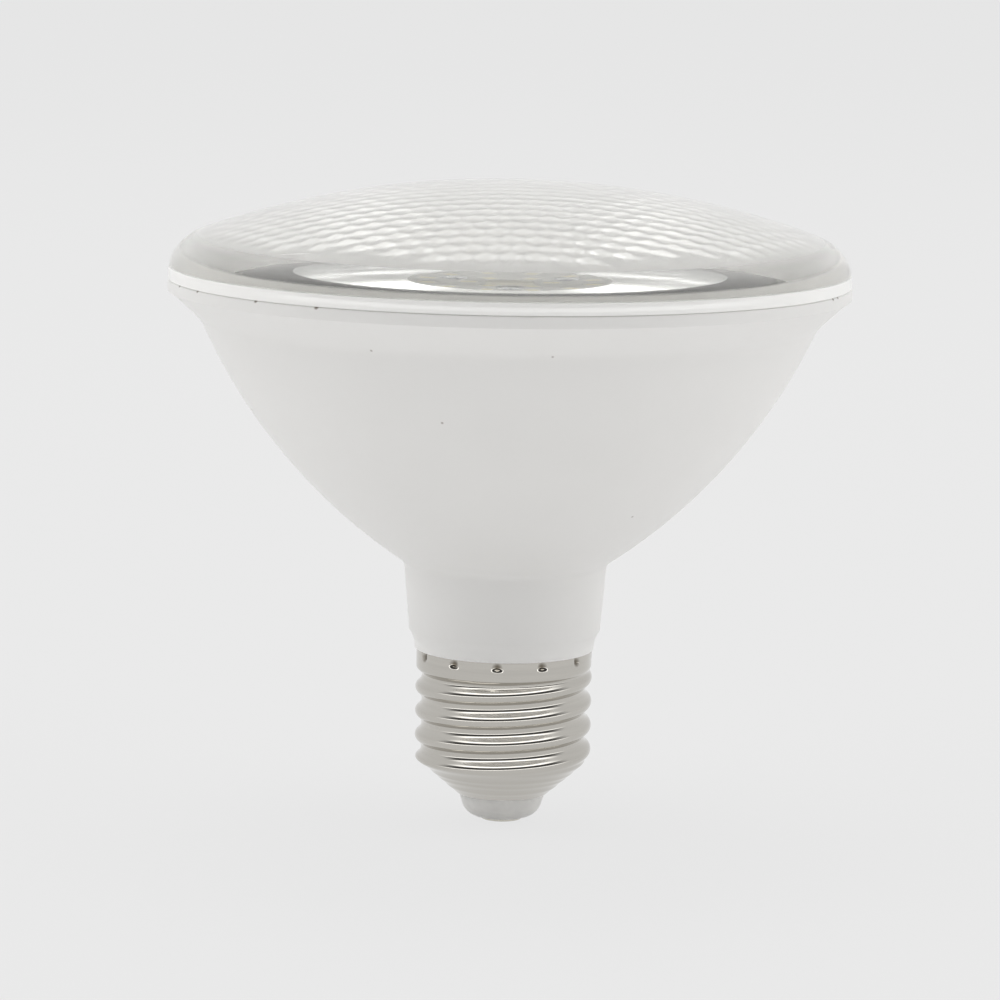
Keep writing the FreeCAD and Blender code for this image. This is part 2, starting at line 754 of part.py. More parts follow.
def make_insulator():
    flange_top = size["shell_end"] + size["insulator_flange"]
    mouth = size["cone_end_radius"] - size["shell_wall"] - size["slip_clearance"]
    flange_radius = mouth + size["insulator_flange"] * cone_slope
    outside = size["cone_end_radius"] - size["insulator_lip"]
    bore = size["pin_radius"] + size["seat_clearance"]
    turned("cap_insulator", [
        (bore, size["pin_head"]),
        (size["insulator_foot"], size["pin_head"], size["insulator_rounding"], 1),
        (outside - size["insulator_draft"], size["pin_head"] + size["insulator_round_height"]),
        (outside, size["shell_end"] - size["insulator_neck"]),
        (mouth, size["shell_end"]),
        (flange_radius, flange_top),
        (bore, flange_top),
    ])


def make_contact_pin():
    head_top = size["pin_head"] - size["seat_clearance"]
    edge = head_top / 2
    turned("contact_pin", [
        (0, 0),
        (size["pin_head_radius"] - edge, 0),
        (size["pin_head_radius"], edge),
        (size["pin_head_radius"], head_top),
        (size["pin_radius"], head_top),
        (size["pin_radius"], size["pin_length"]),
        (0, size["pin_length"]),
    ])


# Heat sink: a pressed aluminium cup in the bowl, with threaded bosses for the board screws

def make_heat_sink():
    skirt_foot = size["board_seat"] - (size["board_seat"] - crease_height) * SKIRT_SHARE
    body = turned("heat_sink", [
        (size["wire_hole"], sink_face_foot),
        (bowl_reach(sink_inside, sink_face_foot), sink_face_foot, sink_inside, -1),
        (bowl_reach(sink_inside, skirt_foot), skirt_foot),
        (bowl_reach(sink_outside, skirt_foot), skirt_foot, sink_outside, 1),
        (bowl_reach(sink_outside, size["board_seat"]), size["board_seat"]),
        (size["wire_hole"], size["board_seat"]),
    ])
    boss_foot = sink_face_foot - size["screw_boss_height"]
    boss = raised(
        body, "Pad", "screw_boss",
        lambda sketch: add_circle(sketch, 0, size["screw_circle"], size["screw_boss"]),
        boss_foot, size["screw_boss_height"],
    )
    hole = raised(
        body, "Pocket", "screw_hole",
        lambda sketch: add_circle(sketch, 0, size["screw_circle"], size["screw_thread_radius"]),
        boss_foot, size["screw_boss_height"] + size["sink_disc"],
    )
    patterned(body, [boss, hole], BOARD_SCREWS, "screw_bosses")


# Light source: the metal core board, its diodes, connector and screws

def make_led_board():
    body = new_body("led_board")
    raised(
        body, "Pad", "led_board_disc",
        lambda sketch: add_circle(sketch, 0, 0, size["board_radius"]),
        size["board_seat"], size["board_thickness"],
    )
    raised(
        body, "Pocket", "led_board_wire_hole",
        lambda sketch: add_circle(sketch, 0, 0, size["wire_hole"]),
        size["board_seat"], size["board_thickness"],
    )
    screw_hole = size["screw_thread_radius"] + size["slip_clearance"]
    hole = raised(
        body, "Pocket", "led_board_screw_hole",
        lambda sketch: add_circle(sketch, 0, size["screw_circle"], screw_hole),
        size["board_seat"], size["board_thickness"],
    )
    patterned(body, [hole], BOARD_SCREWS, "led_board_screw_holes")


def make_chip(number, ring, angle):
    """A diode package with its phosphor window, facing up."""
    name = f"led_chip_{number:02d}"
    package = solid(
        "Box", f"{name}_package", (-size["chip_length"] / 2, -size["chip_width"] / 2, 0),
        Length=size["chip_length"], Width=size["chip_width"], Height=size["chip_height"],
    )
    rim = size["chip_rim"]
    window_length = size["chip_length"] - rim * 2
    window_width = size["chip_width"] - rim * 2
    window_foot = size["chip_height"] - size["chip_recess"]
    window = solid(
        "Box", f"{name}_window", (-window_length / 2, -window_width / 2, window_foot),
        Length=window_length, Width=window_width, Height=size["chip_height"],
    )
    chip = carved(name, package, window)
    chip.Placement = FreeCAD.Placement(FreeCAD.Vector(), FreeCAD.Rotation(FreeCAD.Vector(0, 0, 1), angle))
    across = ring * math.cos(math.radians(angle))
    along = ring * math.sin(math.radians(angle))
    put(chip, (across, along, led_board_top))


def make_chips():
    for i in range(OUTER_CHIPS):
        make_chip(i + 1, size["outer_ring"], 360 / OUTER_CHIPS * (i + 0.5))
    for i in range(INNER_CHIPS):
        make_chip(OUTER_CHIPS + i + 1, size["inner_ring"], 360 / INNER_CHIPS * i)


def make_board_screws():
    seat = led_board_top + size["seat_clearance"]
    head_top = seat + size["screw_head_height"]
    shank = size["screw_thread_radius"] - size["seat_clearance"]
    head_edge = seat + size["screw_head_height"] / 2
    screw = turned("board_screw_blank", [
        (0, seat - size["screw_length"]),
        (shank, seat - size["screw_length"]),
        (shank, seat),
        (size["screw_head_radius"], seat),
        (size["screw_head_radius"], head_edge),
        (shank, head_top),
        (0, head_top),
    ])

    def draw_cross(sketch):
        half = size["screw_slot"] / 2
        arm = shank - size["seat_clearance"]
        add_outline(sketch, [
            (-half, -arm), (half, -arm), (half, -half), (arm, -half), (arm, half), (half, half),
            (half, arm), (-half, arm), (-half, half), (-arm, half), (-arm, -half), (-half, -half),
        ])
    depth = size["screw_head_height"] / 2
    raised(screw, "Pocket", "board_screw_recess", draw_cross, head_top - depth, depth)
    copies = []
    for i in range(BOARD_SCREWS):
        copy = screw.Shape.copy()
        copy.translate(FreeCAD.Vector(0, mm("screw_circle"), 0))
        copy.rotate(FreeCAD.Vector(), FreeCAD.Vector(0, 0, 1), i * 360 / BOARD_SCREWS)
        copies.append(copy)
    shaped("board_screws", Part.makeCompound(copies))


def make_connector():
    """A block over the wire hole, open below for the two wires."""
    body = block(
        "led_connector_block", 0, -size["connector_width"] / 2, led_board_top,
        size["connector_length"], size["connector_width"], size["connector_height"],
    )
    sockets = []
    for side in (-1, 1):
        sockets.append(solid(
            "Cylinder", f"led_connector_socket_{side + 2}",
            (size["wire_spacing"] / 2 * side, 0, led_board_top),
            Radius=size["wire_radius"] + size["slip_clearance"], Height=size["connector_height"] / 2,
        ))
    carved("led_connector", body, joined("led_connector_sockets", sockets))


# Driver: its board stands in the neck, with the components on both faces

def make_driver_board():
    wide = neck_bore + size["board_groove"] - size["slip_clearance"]
    narrow = boss_bore - size["slip_clearance"] * 3
    step = board_shoulder + size["seat_clearance"]
    body = new_body("driver_board")
    sketch = new_sketch(body, "driver_board_outline", "XZ_Plane")
    add_outline(sketch, [
        (-narrow, size["driver_foot"]),
        (narrow, size["driver_foot"]),
        (narrow, step),
        (wide, step),
        (wide, driver_top),
        (-wide, driver_top),
        (-wide, step),
        (-narrow, step),
    ])
    pad = body.newObject("PartDesign::Pad", "driver_board_pad")
    pad.Profile = sketch
    pad.setExpression("Length", size["driver_thickness"].text)
    pad.Midplane = True
    sketch.Visibility = False


def bent_lead(name, start, elbow, end):
    """A tinned lead from a component, with a square bend into the board. Each run is along one axis."""
    turns = {
        0: FreeCAD.Rotation(FreeCAD.Vector(0, 1, 0), 90),
        1: FreeCAD.Rotation(FreeCAD.Vector(1, 0, 0), -90),
    }
    runs = []
    for part, ends in (("out", (start, elbow)), ("in", (end, elbow))):
        root, tip = [[as_size(value) for value in point] for point in ends]
        along = max(range(3), key=lambda i: abs(tip[i].value - root[i].value))
        reach = tip[along] - root[along]
        if reach.value < 0:
            tip, root = root, tip
            reach = -reach
            root[along] = root[along] - size["lead_radius"]
        place = list(root)
        runs.append(solid(
            "Cylinder", f"{name}_{part}", place, turns.get(along),
            Radius=size["lead_radius"], Height=reach + size["lead_radius"],
        ))
    return runs


def make_can(label, radius, height, base, side):
    """A capacitor can along the board, with two leads bent into the board."""
    middle = (driver_half + radius + size["slip_clearance"]) * side
    can = solid("Cylinder", f"{label}_can", (0, middle, base), Radius=radius, Height=height)
    rounded = softened("Chamfer", f"{label}_edges", can, mm("can_edge"), is_ring)
    parts = [rounded]
    low = base - size["lead_reach"]
    for lead in (-1, 1):
        x = size["lead_spacing"] / 2 * lead
        ends = (x, middle, base), (x, middle, low), (x, driver_half * side, low)
        parts += bent_lead(f"{label}_lead_{lead + 2}", *ends)
    joined(label, parts)


def make_film_capacitor():
    base = driver_level("film_base")
    height = driver_height("film_height")
    body = block(
        "film_block", 0, driver_half + size["slip_clearance"], base,
        size["film_length"], size["film_depth"], height,
    )
    rounded = softened("Chamfer", "film_edges", body, mm("can_edge"), is_upright)
    parts = [rounded]
    for lead in (-1, 1):
        parts.append(solid(
            "Cylinder", f"film_lead_{lead + 2}",
            (size["film_length"] / 4 * lead, driver_half, base + height / 2),
            FreeCAD.Rotation(FreeCAD.Vector(1, 0, 0), -90),
            Radius=size["lead_radius"], Height=size["film_depth"] / 2,
        ))
    joined("film_capacitor", parts)


def make_transformer():
    """A square core around a bobbin, on the front of the driver board."""
    overhang = size["bobbin_overhang"]
    near = -driver_half - size["slip_clearance"]
    core_near = near - overhang
    far = core_near - size["core_depth"]
    limb = size["core_limb"]
    width = size["core_width"]
    height = driver_height("core_height")
    base = driver_level("core_base")
    outer = block("core_block", 0, far, base, width, size["core_depth"], height)
    window_width = (width - limb * 4) / 2
    windows = []
    for side in (-1, 1):
        centre = (limb + window_width / 2) * side
        windows.append(block(
            f"core_window_{side + 2}", centre, far - overhang, base + limb,
            window_width, size["core_depth"] + overhang * 2, height - limb * 2,
        ))
    carved("transformer_core", outer, joined("core_windows", windows))

    gap = size["seat_clearance"]
    tube_height = height - limb * 2 - gap * 2
    tube_base = base + limb + gap
    tube_half = limb + gap
    wall = window_width / 4
    plate_width = width - limb * 2 - gap * 2
    plate_depth = size["core_depth"] + overhang * 2
    plate_far = far - overhang
    plates = []
    flange = size["bobbin_flange"]
    for name, level in (("low", tube_base), ("high", tube_base + tube_height - flange)):
        plates.append(block(f"bobbin_{name}", 0, plate_far, level, plate_width, plate_depth, flange))
    tube = block("bobbin_tube", 0, far - gap - wall, tube_base, (tube_half + wall) * 2,
                 size["core_depth"] + (gap + wall) * 2, tube_height)
    bore = block("bobbin_bore", 0, far - gap, base, tube_half * 2, size["core_depth"] + gap * 2, height)
    carved("transformer_bobbin", joined("bobbin_blank", plates + [tube]), bore)

    coil_base = tube_base + flange + gap
    coil_height = tube_height - (flange + gap) * 2
    coil = block("winding_block", 0, far - size["winding_depth"], coil_base, plate_width - gap * 2,
                 size["core_depth"] + size["winding_depth"] * 2, coil_height)
    rounded = softened("Fillet", "winding_edges", coil, mm("winding_depth") * WINDING_CORNER, is_upright)
    space = block("winding_space", 0, far - gap * 2 - wall, base, (tube_half + wall + gap) * 2,
                  size["core_depth"] + (gap * 2 + wall) * 2, height)
    carved("transformer_winding", rounded, space)


def make_package(label, face, centre_x, base, along_x, along_z, height, pins):
    """A surface mounted package on the back face (1) or the front face (-1), with pins at both ends."""
    stand = driver_half + size["slip_clearance"]
    body_y = stand if face > 0 else -stand - height
    pin_y = driver_half if face > 0 else -driver_half - height / 2
    parts = [block(f"{label}_body", centre_x, body_y, base, along_x, height, along_z)]
    pin_pitch = along_z / pins
    margin = (1 - PIN_SHARE) / 2
    for side in (-1, 1):
        for i in range(pins):
            parts.append(block(
                f"{label}_pin_{side + 2}_{i}", centre_x + (along_x / 2) * side, pin_y,
                base + pin_pitch * (i + margin), size["lead_reach"], height / 2, pin_pitch * PIN_SHARE,
            ))
    joined(label, parts)


def make_axial(label, radius, length, height, side):
    """An axial component across the board, with both leads bent into it."""
    y = (driver_half + radius + size["slip_clearance"]) * side
    start = -length / 2
    can = solid(
        "Cylinder", f"{label}_body", (start, y, height),
        FreeCAD.Rotation(FreeCAD.Vector(0, 1, 0), 90), Radius=radius, Height=length,
    )
    rounded = softened("Chamfer", f"{label}_edges", can, mm("can_edge"), is_ring)
    parts = [rounded]
    for lead in (-1, 1):
        inner = (length / 2) * lead
        outer = (length / 2 + size["lead_reach"]) * lead
        ends = (inner, y, height), (outer, y, height), (outer, driver_half * side, height)
        parts += bent_lead(f"{label}_lead_{lead + 2}", *ends)
    joined(label, parts)


def make_driver_parts():
    for label, side in (("input", -1), ("output", 1)):
        make_can(f"{label}_capacitor", size[f"{label}_can_radius"], driver_height(f"{label}_can_height"),
                 driver_level(f"{label}_can_base"), side)
    make_film_capacitor()
    make_transformer()
    make_axial("fuse_resistor", size["fuse_radius"], size["fuse_length"], driver_level("fuse_base"), 1)
    make_package("bridge_rectifier", 1, as_size(0), driver_level("bridge_base"), size["bridge_side"],
                 driver_height("bridge_side"), size["bridge_height"], 2)
    make_package("output_diode", -1, as_size(0), driver_level("diode_base"), size["diode_length"],
                 driver_height("diode_width"), size["diode_height"], 1)
    beside_can = size["output_can_radius"] + size["lead_reach"] + size["driver_chip_width"] / 2
    make_package("driver_chip", 1, beside_can, driver_level("driver_chip_base"), size["driver_chip_width"],
                 driver_height("driver_chip_length"), size["driver_chip_height"], 4)


# Wires

def make_wires():
    wire = mm("wire_radius")
    face = driver_half.value
    gap = mm("seat_clearance")
    beside = face + gap + wire
    foot = mm("driver_foot")
    pin_end = mm("pin_length") + gap
    shaped("live_wire", routed([
        (0, 0, pin_end),
        (0, 0, pin_end + wire * 2),
        (0, -beside, foot - wire),
        (0, -beside, foot + wire * 5),
    ], wire))
    notch = mm("boss_height")
    shell_y = shell_inside.value - gap - wire
    shaped("neutral_wire", routed([
        (0, face, notch + wire * 2),
        (0, shell_y, notch + wire * 2),
        (0, shell_y, notch + mm("wire_notch") - wire),
    ], wire))
    socket = led_board_top.value + mm("connector_height") / 2 - gap
    top = driver_top.value
    for label, side in (("led_positive_wire", 1), ("led_negative_wire", -1)):
        x = mm("wire_spacing") / 2 * side
        shaped(label, routed([
            (x, -beside, top - wire * 4),
            (x, -beside, top + wire),
            (x, 0, top + wire * 5),
            (x, 0, socket),
        ], wire))


NODES = [
    "cover_lens", "reflector", "housing", "heat_sink", "led_board", "board_screws", "led_connector",
    "driver_board", "input_capacitor", "output_capacitor", "film_capacitor", "transformer_core",
    "transformer_bobbin", "transformer_winding", "bridge_rectifier", "driver_chip", "fuse_resistor",
    "output_diode", "live_wire", "neutral_wire", "led_positive_wire", "led_negative_wire",
    "screw_shell", "cap_insulator", "contact_pin",
] + [f"led_chip_{i + 1:02d}" for i in range(OUTER_CHIPS + INNER_CHIPS)]


def check_model():
    """Stop if any object failed or any sub-part has no valid shape."""
    for thing in doc.Objects:
        if "Invalid" in thing.State or "Error" in thing.State:
            raise RuntimeError(f"{thing.Name} failed: {thing.State}")
    for node in NODES:
        shape = doc.getObjectsByLabel(node)[0].Shape
        if shape.isNull() or not shape.isValid():
            raise RuntimeError(f"{node} has no valid shape")
        print(node, len(shape.Solids), round(shape.Volume, 3))


make_lens()
make_reflector()
make_housing()
make_shell()
make_insulator()
make_contact_pin()
make_heat_sink()
make_led_board()
make_chips()
make_board_screws()
make_connector()
make_driver_board()
make_driver_parts()
make_wires()
doc.recompute()
check_model()
os.makedirs("parts", exist_ok=True)
for node in NODES:
    doc.getObjectsByLabel(node)[0].Shape.exportStep(f"parts/{node}.step")
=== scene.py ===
from math import atan2, cos, hypot, pi, radians, sin, sqrt, tau

import bmesh
import bpy
from mathutils import Matrix, Vector


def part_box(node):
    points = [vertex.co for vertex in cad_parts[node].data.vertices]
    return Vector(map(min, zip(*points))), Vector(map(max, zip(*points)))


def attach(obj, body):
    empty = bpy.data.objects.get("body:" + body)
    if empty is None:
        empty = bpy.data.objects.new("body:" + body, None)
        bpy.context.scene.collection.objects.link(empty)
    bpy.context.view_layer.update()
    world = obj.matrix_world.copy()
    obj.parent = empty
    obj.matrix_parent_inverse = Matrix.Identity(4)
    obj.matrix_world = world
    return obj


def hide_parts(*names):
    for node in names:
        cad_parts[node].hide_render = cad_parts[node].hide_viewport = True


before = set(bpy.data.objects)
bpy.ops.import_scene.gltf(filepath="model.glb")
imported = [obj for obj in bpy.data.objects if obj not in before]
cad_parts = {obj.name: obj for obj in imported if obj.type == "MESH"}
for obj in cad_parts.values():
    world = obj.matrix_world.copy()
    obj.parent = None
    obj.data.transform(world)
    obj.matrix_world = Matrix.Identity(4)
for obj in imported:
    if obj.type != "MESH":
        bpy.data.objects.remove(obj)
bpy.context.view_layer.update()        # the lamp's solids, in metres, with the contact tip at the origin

bl_info = {
    "name": "Spotlight Bulb",
    "version": (1, 0, 0),
    "blender": (4, 5, 0),
    "location": "View3D > Sidebar > Spotlight Bulb",
    "description": "Dresses the solids of a reflector spotlight bulb and sets up its studio",
    "category": "Object",
}

MM = 0.001
LENS_LOW, LENS_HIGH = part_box("cover_lens")
HOUSING_LOW, HOUSING_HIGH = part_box("housing")
SHELL_LOW, SHELL_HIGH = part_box("screw_shell")
INSULATOR_LOW, INSULATOR_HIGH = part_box("cap_insulator")
BOARD_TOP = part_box("led_board")[1].z
REFLECTOR_LOW, REFLECTOR_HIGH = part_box("reflector")
CHIP_NODES = sorted(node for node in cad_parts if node.startswith("led_chip_"))

# How finely the pieces are divided
ROUND_STEPS = 192
FOOT_STEPS = 96
SHELL_COLUMNS = 240
SHELL_ROWS = 110

# Points closer than this are one, in a mesh and in a section
MERGE = 0.01 * MM
FINE_MERGE = 0.002 * MM
# A face whose normal rises at least this much lies flat
FLAT = 0.99
# How far a cut reaches past the piece
SPARE = 1.0 * MM

# Turns of a section's arcs, seen with X to the right and Z up
CLOCKWISE = -1
ANTICLOCKWISE = 1

# Depth of the finest grain that shows
RELIEF = 0.01 * MM

# The fine ridges on the cone of the shell
CONE_RIDGES = (7.3 * MM, 6.4 * MM, 5.2 * MM)
RIDGE_HALF = 0.45 * MM
RIDGE_RISE = 0.12 * MM

# The punch marks that hold the shell on the neck
PUNCH_MARKS = 12
PUNCH_START = radians(-94.3)
# Where a mark's slopes begin and end, in half sides across it and in sides below the shell's edge
PUNCH_SIDES = (1.25, 0.75)
PUNCH_FOOT = (1.1, 0.8)
# Middle and reach of the painted shade round a mark, in sides
PUNCH_SHADE_MIDDLE = 0.6
PUNCH_SHADE_REACH = 0.75

# Optics of the clear plastic: its index, and how clear it is at shares of the lens's height, milky in the rim
PLASTIC_IOR = 1.585
CLARITY = ((0.235, 0.12), (0.25, 0.94), (0.33, 0.94), (0.42, 0.8))

# Ring tracks on the light source board: middle radii, half their width, and half the width of their edge
RING_TRACKS = (7.0 * MM, 14.6 * MM)
TRACK_HALF = 1.9 * MM
TRACK_EDGE = 0.12 * MM

# Bare ends of the driver's components
LEAD = 1.4 * MM
CAN_FOOT = 1.7 * MM
CAN_TOP = 0.15 * MM
TINNED = (0.72, 0.72, 0.71)


def in_metres(*places):
    """Places given in millimetres."""
    return [tuple(part * MM for part in place) for place in places]


# Where dirt lies, how far a speck reaches and its colour
SEAM_SPECKS = in_metres(
    (-47.2, -16.5, 80.65), (-44.1, -23.5, 80.65), (-35.2, -35.5, 80.65), (-26.5, -42.4, 80.6),
    (45.9, -19.9, 80.6), (46.7, -17.9, 80.65),
)
SEAM_SPECK = 0.5 * MM
SEAM_DIRT = (0.2, 0.17, 0.14)
BOWL_SPECKS = in_metres((-18.9, -41.1, 74.6), (5.9, -44.8, 74.6), (-9.1, -38.8, 64.4), (18.0, -20.8, 48.9))
BOWL_SPECK = 0.28 * MM
BOWL_DIRT = (0.45, 0.42, 0.4)

# The room that shows through the lens: its light, and the ways and reaches of a dark patch and two panels
ROOM = (1.4, 1.4, 1.38)
ROOM_PANEL = 4.5
DARK_WAY = (0.0, 0.78, 0.62)
DARK_REACH = 0.36
PANEL_WAY = (0.42, 0.6, 0.68)
PANEL_REACH = 0.3
# The share of a reach that stays whole, for a way to look and for a mark on a piece
WAY_CORE = 0.6
MARK_CORE = 0.3

# The panels that polished metal mirrors: their strength, and the tones of the panels and of the zenith
PANEL_LIGHT = 3.0
PANEL_TONE = 0.8
ZENITH_TONE = 0.2

# Lamps of the studio: name, place, watts and side, and the point that they aim at
LAMPS = (
    ("key", (-1.1, -0.2, 1.2), 4.9, 0.9),
    ("fill", (1.1, -0.2, 1.0), 4.1, 0.9),
    ("top", (0.0, 0.5, 1.5), 10.0, 1.0),
)
LAMP_AIM = Vector((0.0, 0.0, 0.06))
FLOOR_SIDE = 8.0
FLOOR_DROP = 0.1 * MM


def length(name, description, default):
    """A length that the user can change. Its default is given in millimetres."""
    return bpy.props.FloatProperty(
        name=name, description=description, default=default * MM, unit="LENGTH", precision=5,
    )


def share(name, description, default):
    """A number from 0 to 1 that the user can change."""
    return bpy.props.FloatProperty(
        name=name, description=description, default=default, min=0.0, max=1.0, subtype="FACTOR",
    )


def colour(name, description, default):
    """A colour that the user can change."""
    return bpy.props.FloatVectorProperty(
        name=name, description=description, default=default, size=3, min=0.0, max=1.0, subtype="COLOR",
    )


class LensSettings(bpy.types.PropertyGroup):
    """Sizes and colours of the clear lens."""

    dome_radius: length("Dome radius", "Sphere of the lens front", 137.2)
    shoulder_radius: length("Shoulder", "Rounding between the front and the side", 6.5)
    land: length("Land", "Straight side below the shoulder", 0.41)
    wall: length("Wall", "Thickness of the dome", 2.0)
    aperture: length("Aperture", "Inner radius of the thick rim", 45.2)
    spigot: length("Spigot", "Wall of the ring that enters the housing", 1.8)
    cell_pitch: length("Cell pitch", "Distance between the cells of the honeycomb", 3.45)
    cell_radius: length("Cell radius", "Sphere of each cell", 6.5)
    clear: colour("Clear", "Colour of the clear plastic", (0.98, 0.975, 0.955))
    cell_gloss: share("Cell roughness", "Roughness of the honeycomb's side", 0.1)
    cell_clarity: share("Cell clarity", "How clear the honeycomb's side is", 0.6)


class ReflectorSettings(bpy.types.PropertyGroup):
    """Sizes and colours of the reflector."""

    throat: length("Throat", "Radius of the lower opening", 17.6)
    mouth: length("Mouth", "Inner radius at the lens", 44.15)
    collar: length("Collar", "Outer radius at the lens", 45.05)
    arc: length("Arc", "Curve of the bright inside", 46.79)
    wall: length("Wall", "Thickness of the wall", 1.1)
    flange_top: length("Flange", "Upper face of the flange", 78.3)
    flange: length("Flange thickness", "Thickness of the flange", 0.8)
    flange_step: length("Flange step", "Outside of the wall above the flange", 43.4)
    silver: colour("Silver", "Colour of the metal coat", (0.84, 0.845, 0.85))
    back: colour("Back", "Colour of the uncoated outside", (0.86, 0.86, 0.85))
    # The lip's colour is painted shade: a dark band at the top of the reflector, standing in for the shade in
    # the gap under the lens
    lip_shade_height: length("Lip height", "Height of the bare lip", 0.5)
    lip_shade_fade: length("Lip fade", "Height in which the lip's colour comes in", 0.2)
    lip: colour("Lip", "Colour of the bare lip", (0.16, 0.16, 0.165))


class HousingSettings(bpy.types.PropertyGroup):
    """Sizes and colours of the white housing."""

    band: length("Rim band", "Straight band of the rim", 1.8)
    step: length("Rim step", "Ledge under the band", 0.35)
    bore: length("Rim bore", "Inside of the rim", 47.15)
    ledge: length("Ledge", "Height of the seat under the reflector's flange", 77.45)
    corner: length("Corner radius", "Where the bevel meets the bowl", 45.2)
    bowl_radius: length("Bowl radius", "Arc of the bowl", 82.7)
    bowl_offset: length("Bowl offset", "Centre of that arc, past the axis", 30.5)
    bowl_centre: length("Bowl centre", "Height of the centre of that arc", 107.9)
    wall: length("Wall", "Wall of the bowl", 1.8)
    neck_top: length("Neck top", "Neck where it meets the bowl", 15.0)
    neck_low: length("Neck low", "Neck above its foot", 14.15)
    neck_base: length("Neck foot", "Neck where it stands on the shell", 13.25)
    neck_rounding: length("Neck rounding", "Arc at the foot of the neck", 5.0)
    neck_rise: length("Neck rounding height", "Height of that arc", 2.85)
    neck_bore: length("Neck bore", "Inside of the neck", 12.4)
    neck_floor: length("Neck floor", "Thickness of the floor inside the neck", 0.8)
    neck_gap: length("Neck gap", "Gap between the neck and the shell", 0.05)
    boss: length("Boss", "Radius of the boss inside the shell", 11.7)
    boss_bore: length("Boss bore", "Inside of the boss", 10.4)
    collar: length("Collar", "Radius of the boss at the shell's skirt", 12.65)
    collar_height: length("Collar height", "Height of that part of the boss", 2.0)
    groove: length("Groove", "Depth of the grooves that hold the driver board", 0.7)
    groove_half: length("Groove half", "Half the width of a groove", 0.95)
    groove_rise: length("Groove rise", "How far a groove rises past the top of the neck", 2.0)
    notch_half: length("Notch half", "Half the width of the notch for the wire", 0.75)
    notch_inside: length("Notch inside", "Distance from the axis where the notch begins", 9.0)
    notch_outside: length("Notch outside", "Distance from the axis where the notch ends", 12.3)
    notch_height: length("Notch height", "Height of the notch in the boss", 5.5)
    crease: length("Crease", "Rounding of the outside creases", 0.8)
    rim_edge: length("Rim edge", "Rounding of the rim's upper edge", 0.3)
    band_edge: length("Band edge", "Rounding of the band's lower edge", 0.12)
    step_edge: length("Step edge", "Rounding of the corner under the band", 0.1)
    white: colour("White", "Colour of the moulding", (0.80, 0.792, 0.775))


class CapSettings(bpy.types.PropertyGroup):
    """Sizes and colours of the screw cap."""

    crest: length("Crest", "Radius of the thread's crests", 13.1)
    root: length("Root", "Radius of the thread's roots", 12.15)
    pitch: length("Pitch", "Rise of the thread in one turn", 3.629)
    first_crest: length("First crest", "Height of the highest full crest at +X", 21.65)
    skirt: length("Skirt", "Plain skirt above the thread", 13.0)
    thread_start: length("Thread start", "Height where the skirt begins to ripple", 23.5)
    thread_end: length("Thread end", "Height where the cone begins", 8.9)
    skirt_fade: length("Skirt fade", "Height in which the thread runs into the skirt", 1.6)
    cone_fade: length("Cone fade", "Half the height in which the thread runs into the cone", 0.8)
    cone_top: length("Cone top", "Top of the cone", 12.3)
    cone_end: length("Cone end", "Mouth that holds the insulator", 6.85)
    sheet: length("Sheet", "Thickness of the sheet", 0.3)
    punch: length("Punch mark", "Side of each punch mark", 1.2)
    punch_depth: length("Punch depth", "Depth of each punch mark", 0.3)
    foot: length("Insulator foot", "Flat end of the insulator", 3.6)
    foot_round: length("Insulator rounding", "Arc at the foot of the insulator", 2.6)
    foot_round_height: length("Rounding height", "Height of that arc", 1.6)
    foot_side: length("Insulator side", "Radius above that arc", 5.8)
    foot_neck: length("Insulator neck", "Radius under the shell", 6.4)
    foot_collar: length("Insulator collar", "Straight height under the shell", 0.2)
    foot_bore: length("Insulator bore", "Hole for the contact pin", 1.15)
    nickel: colour("Nickel", "Colour of the plating", (0.58, 0.56, 0.52))
    # Painted shade: a dark colour laid in the punch marks, standing in for the shade in the dents
    punch_shade: colour("Bruise", "Colour of the plating where the punch has pressed it", (0.16, 0.14, 0.11))
    insulator: colour("Insulator", "Colour of the insulator", (0.88, 0.87, 0.845))


class InnerSettings(bpy.types.PropertyGroup):
    """Sizes and colours of the parts inside the lamp."""

    chip_length: length("Diode length", "Along the radius", 3.5)
    chip_width: length("Diode width", "Across the radius", 2.8)
    chip_rim: length("Diode rim", "White rim round the phosphor", 0.35)
    chip_recess: length("Diode window", "Depth of the phosphor window", 0.12)
    chip_edge: length("Diode edge", "Rounding of the package", 0.08)
    package: colour("Diode package", "White plastic of the diodes", (0.88, 0.88, 0.86))
    phosphor: colour("Phosphor", "Yellow window of the diodes", (0.93, 0.88, 0.66))
    board_white: colour("Light source board", "White solder mask", (0.7, 0.7, 0.69))
    board_green: colour("Driver board", "Green solder mask", (0.03, 0.16, 0.06))
    aluminium: colour("Aluminium", "Heat sink", (0.78, 0.79, 0.8))
    zinc: colour("Zinc", "Board screws", (0.62, 0.63, 0.65))
    brass: colour("Contact", "Plated brass of the contact pin", (0.62, 0.6, 0.54))
    connector: colour("Connector", "Ivory plastic", (0.82, 0.8, 0.72))
    copper: colour("Copper", "Enamelled wire", (0.62, 0.24, 0.1))
    sleeve: colour("Capacitor sleeve", "Dark sleeve of the cans", (0.03, 0.035, 0.06))
    package_black: colour("Black package", "Epoxy of the driver's packages", (0.02, 0.02, 0.022))
    ferrite: colour("Ferrite", "Core of the transformer", (0.07, 0.07, 0.072))
    film_box: colour("Film capacitor", "Yellow box", (0.72, 0.5, 0.09))
    lacquer: colour("Resistor", "Blue-green lacquer", (0.1, 0.3, 0.36))
    live: colour("Live wire", "Brown sleeve", (0.16, 0.06, 0.025))
    neutral: colour("Neutral wire", "Blue sleeve", (0.03, 0.1, 0.42))
    positive: colour("Positive wire", "Red sleeve", (0.5, 0.02, 0.02))
    negative: colour("Negative wire", "Black sleeve", (0.03, 0.03, 0.03))


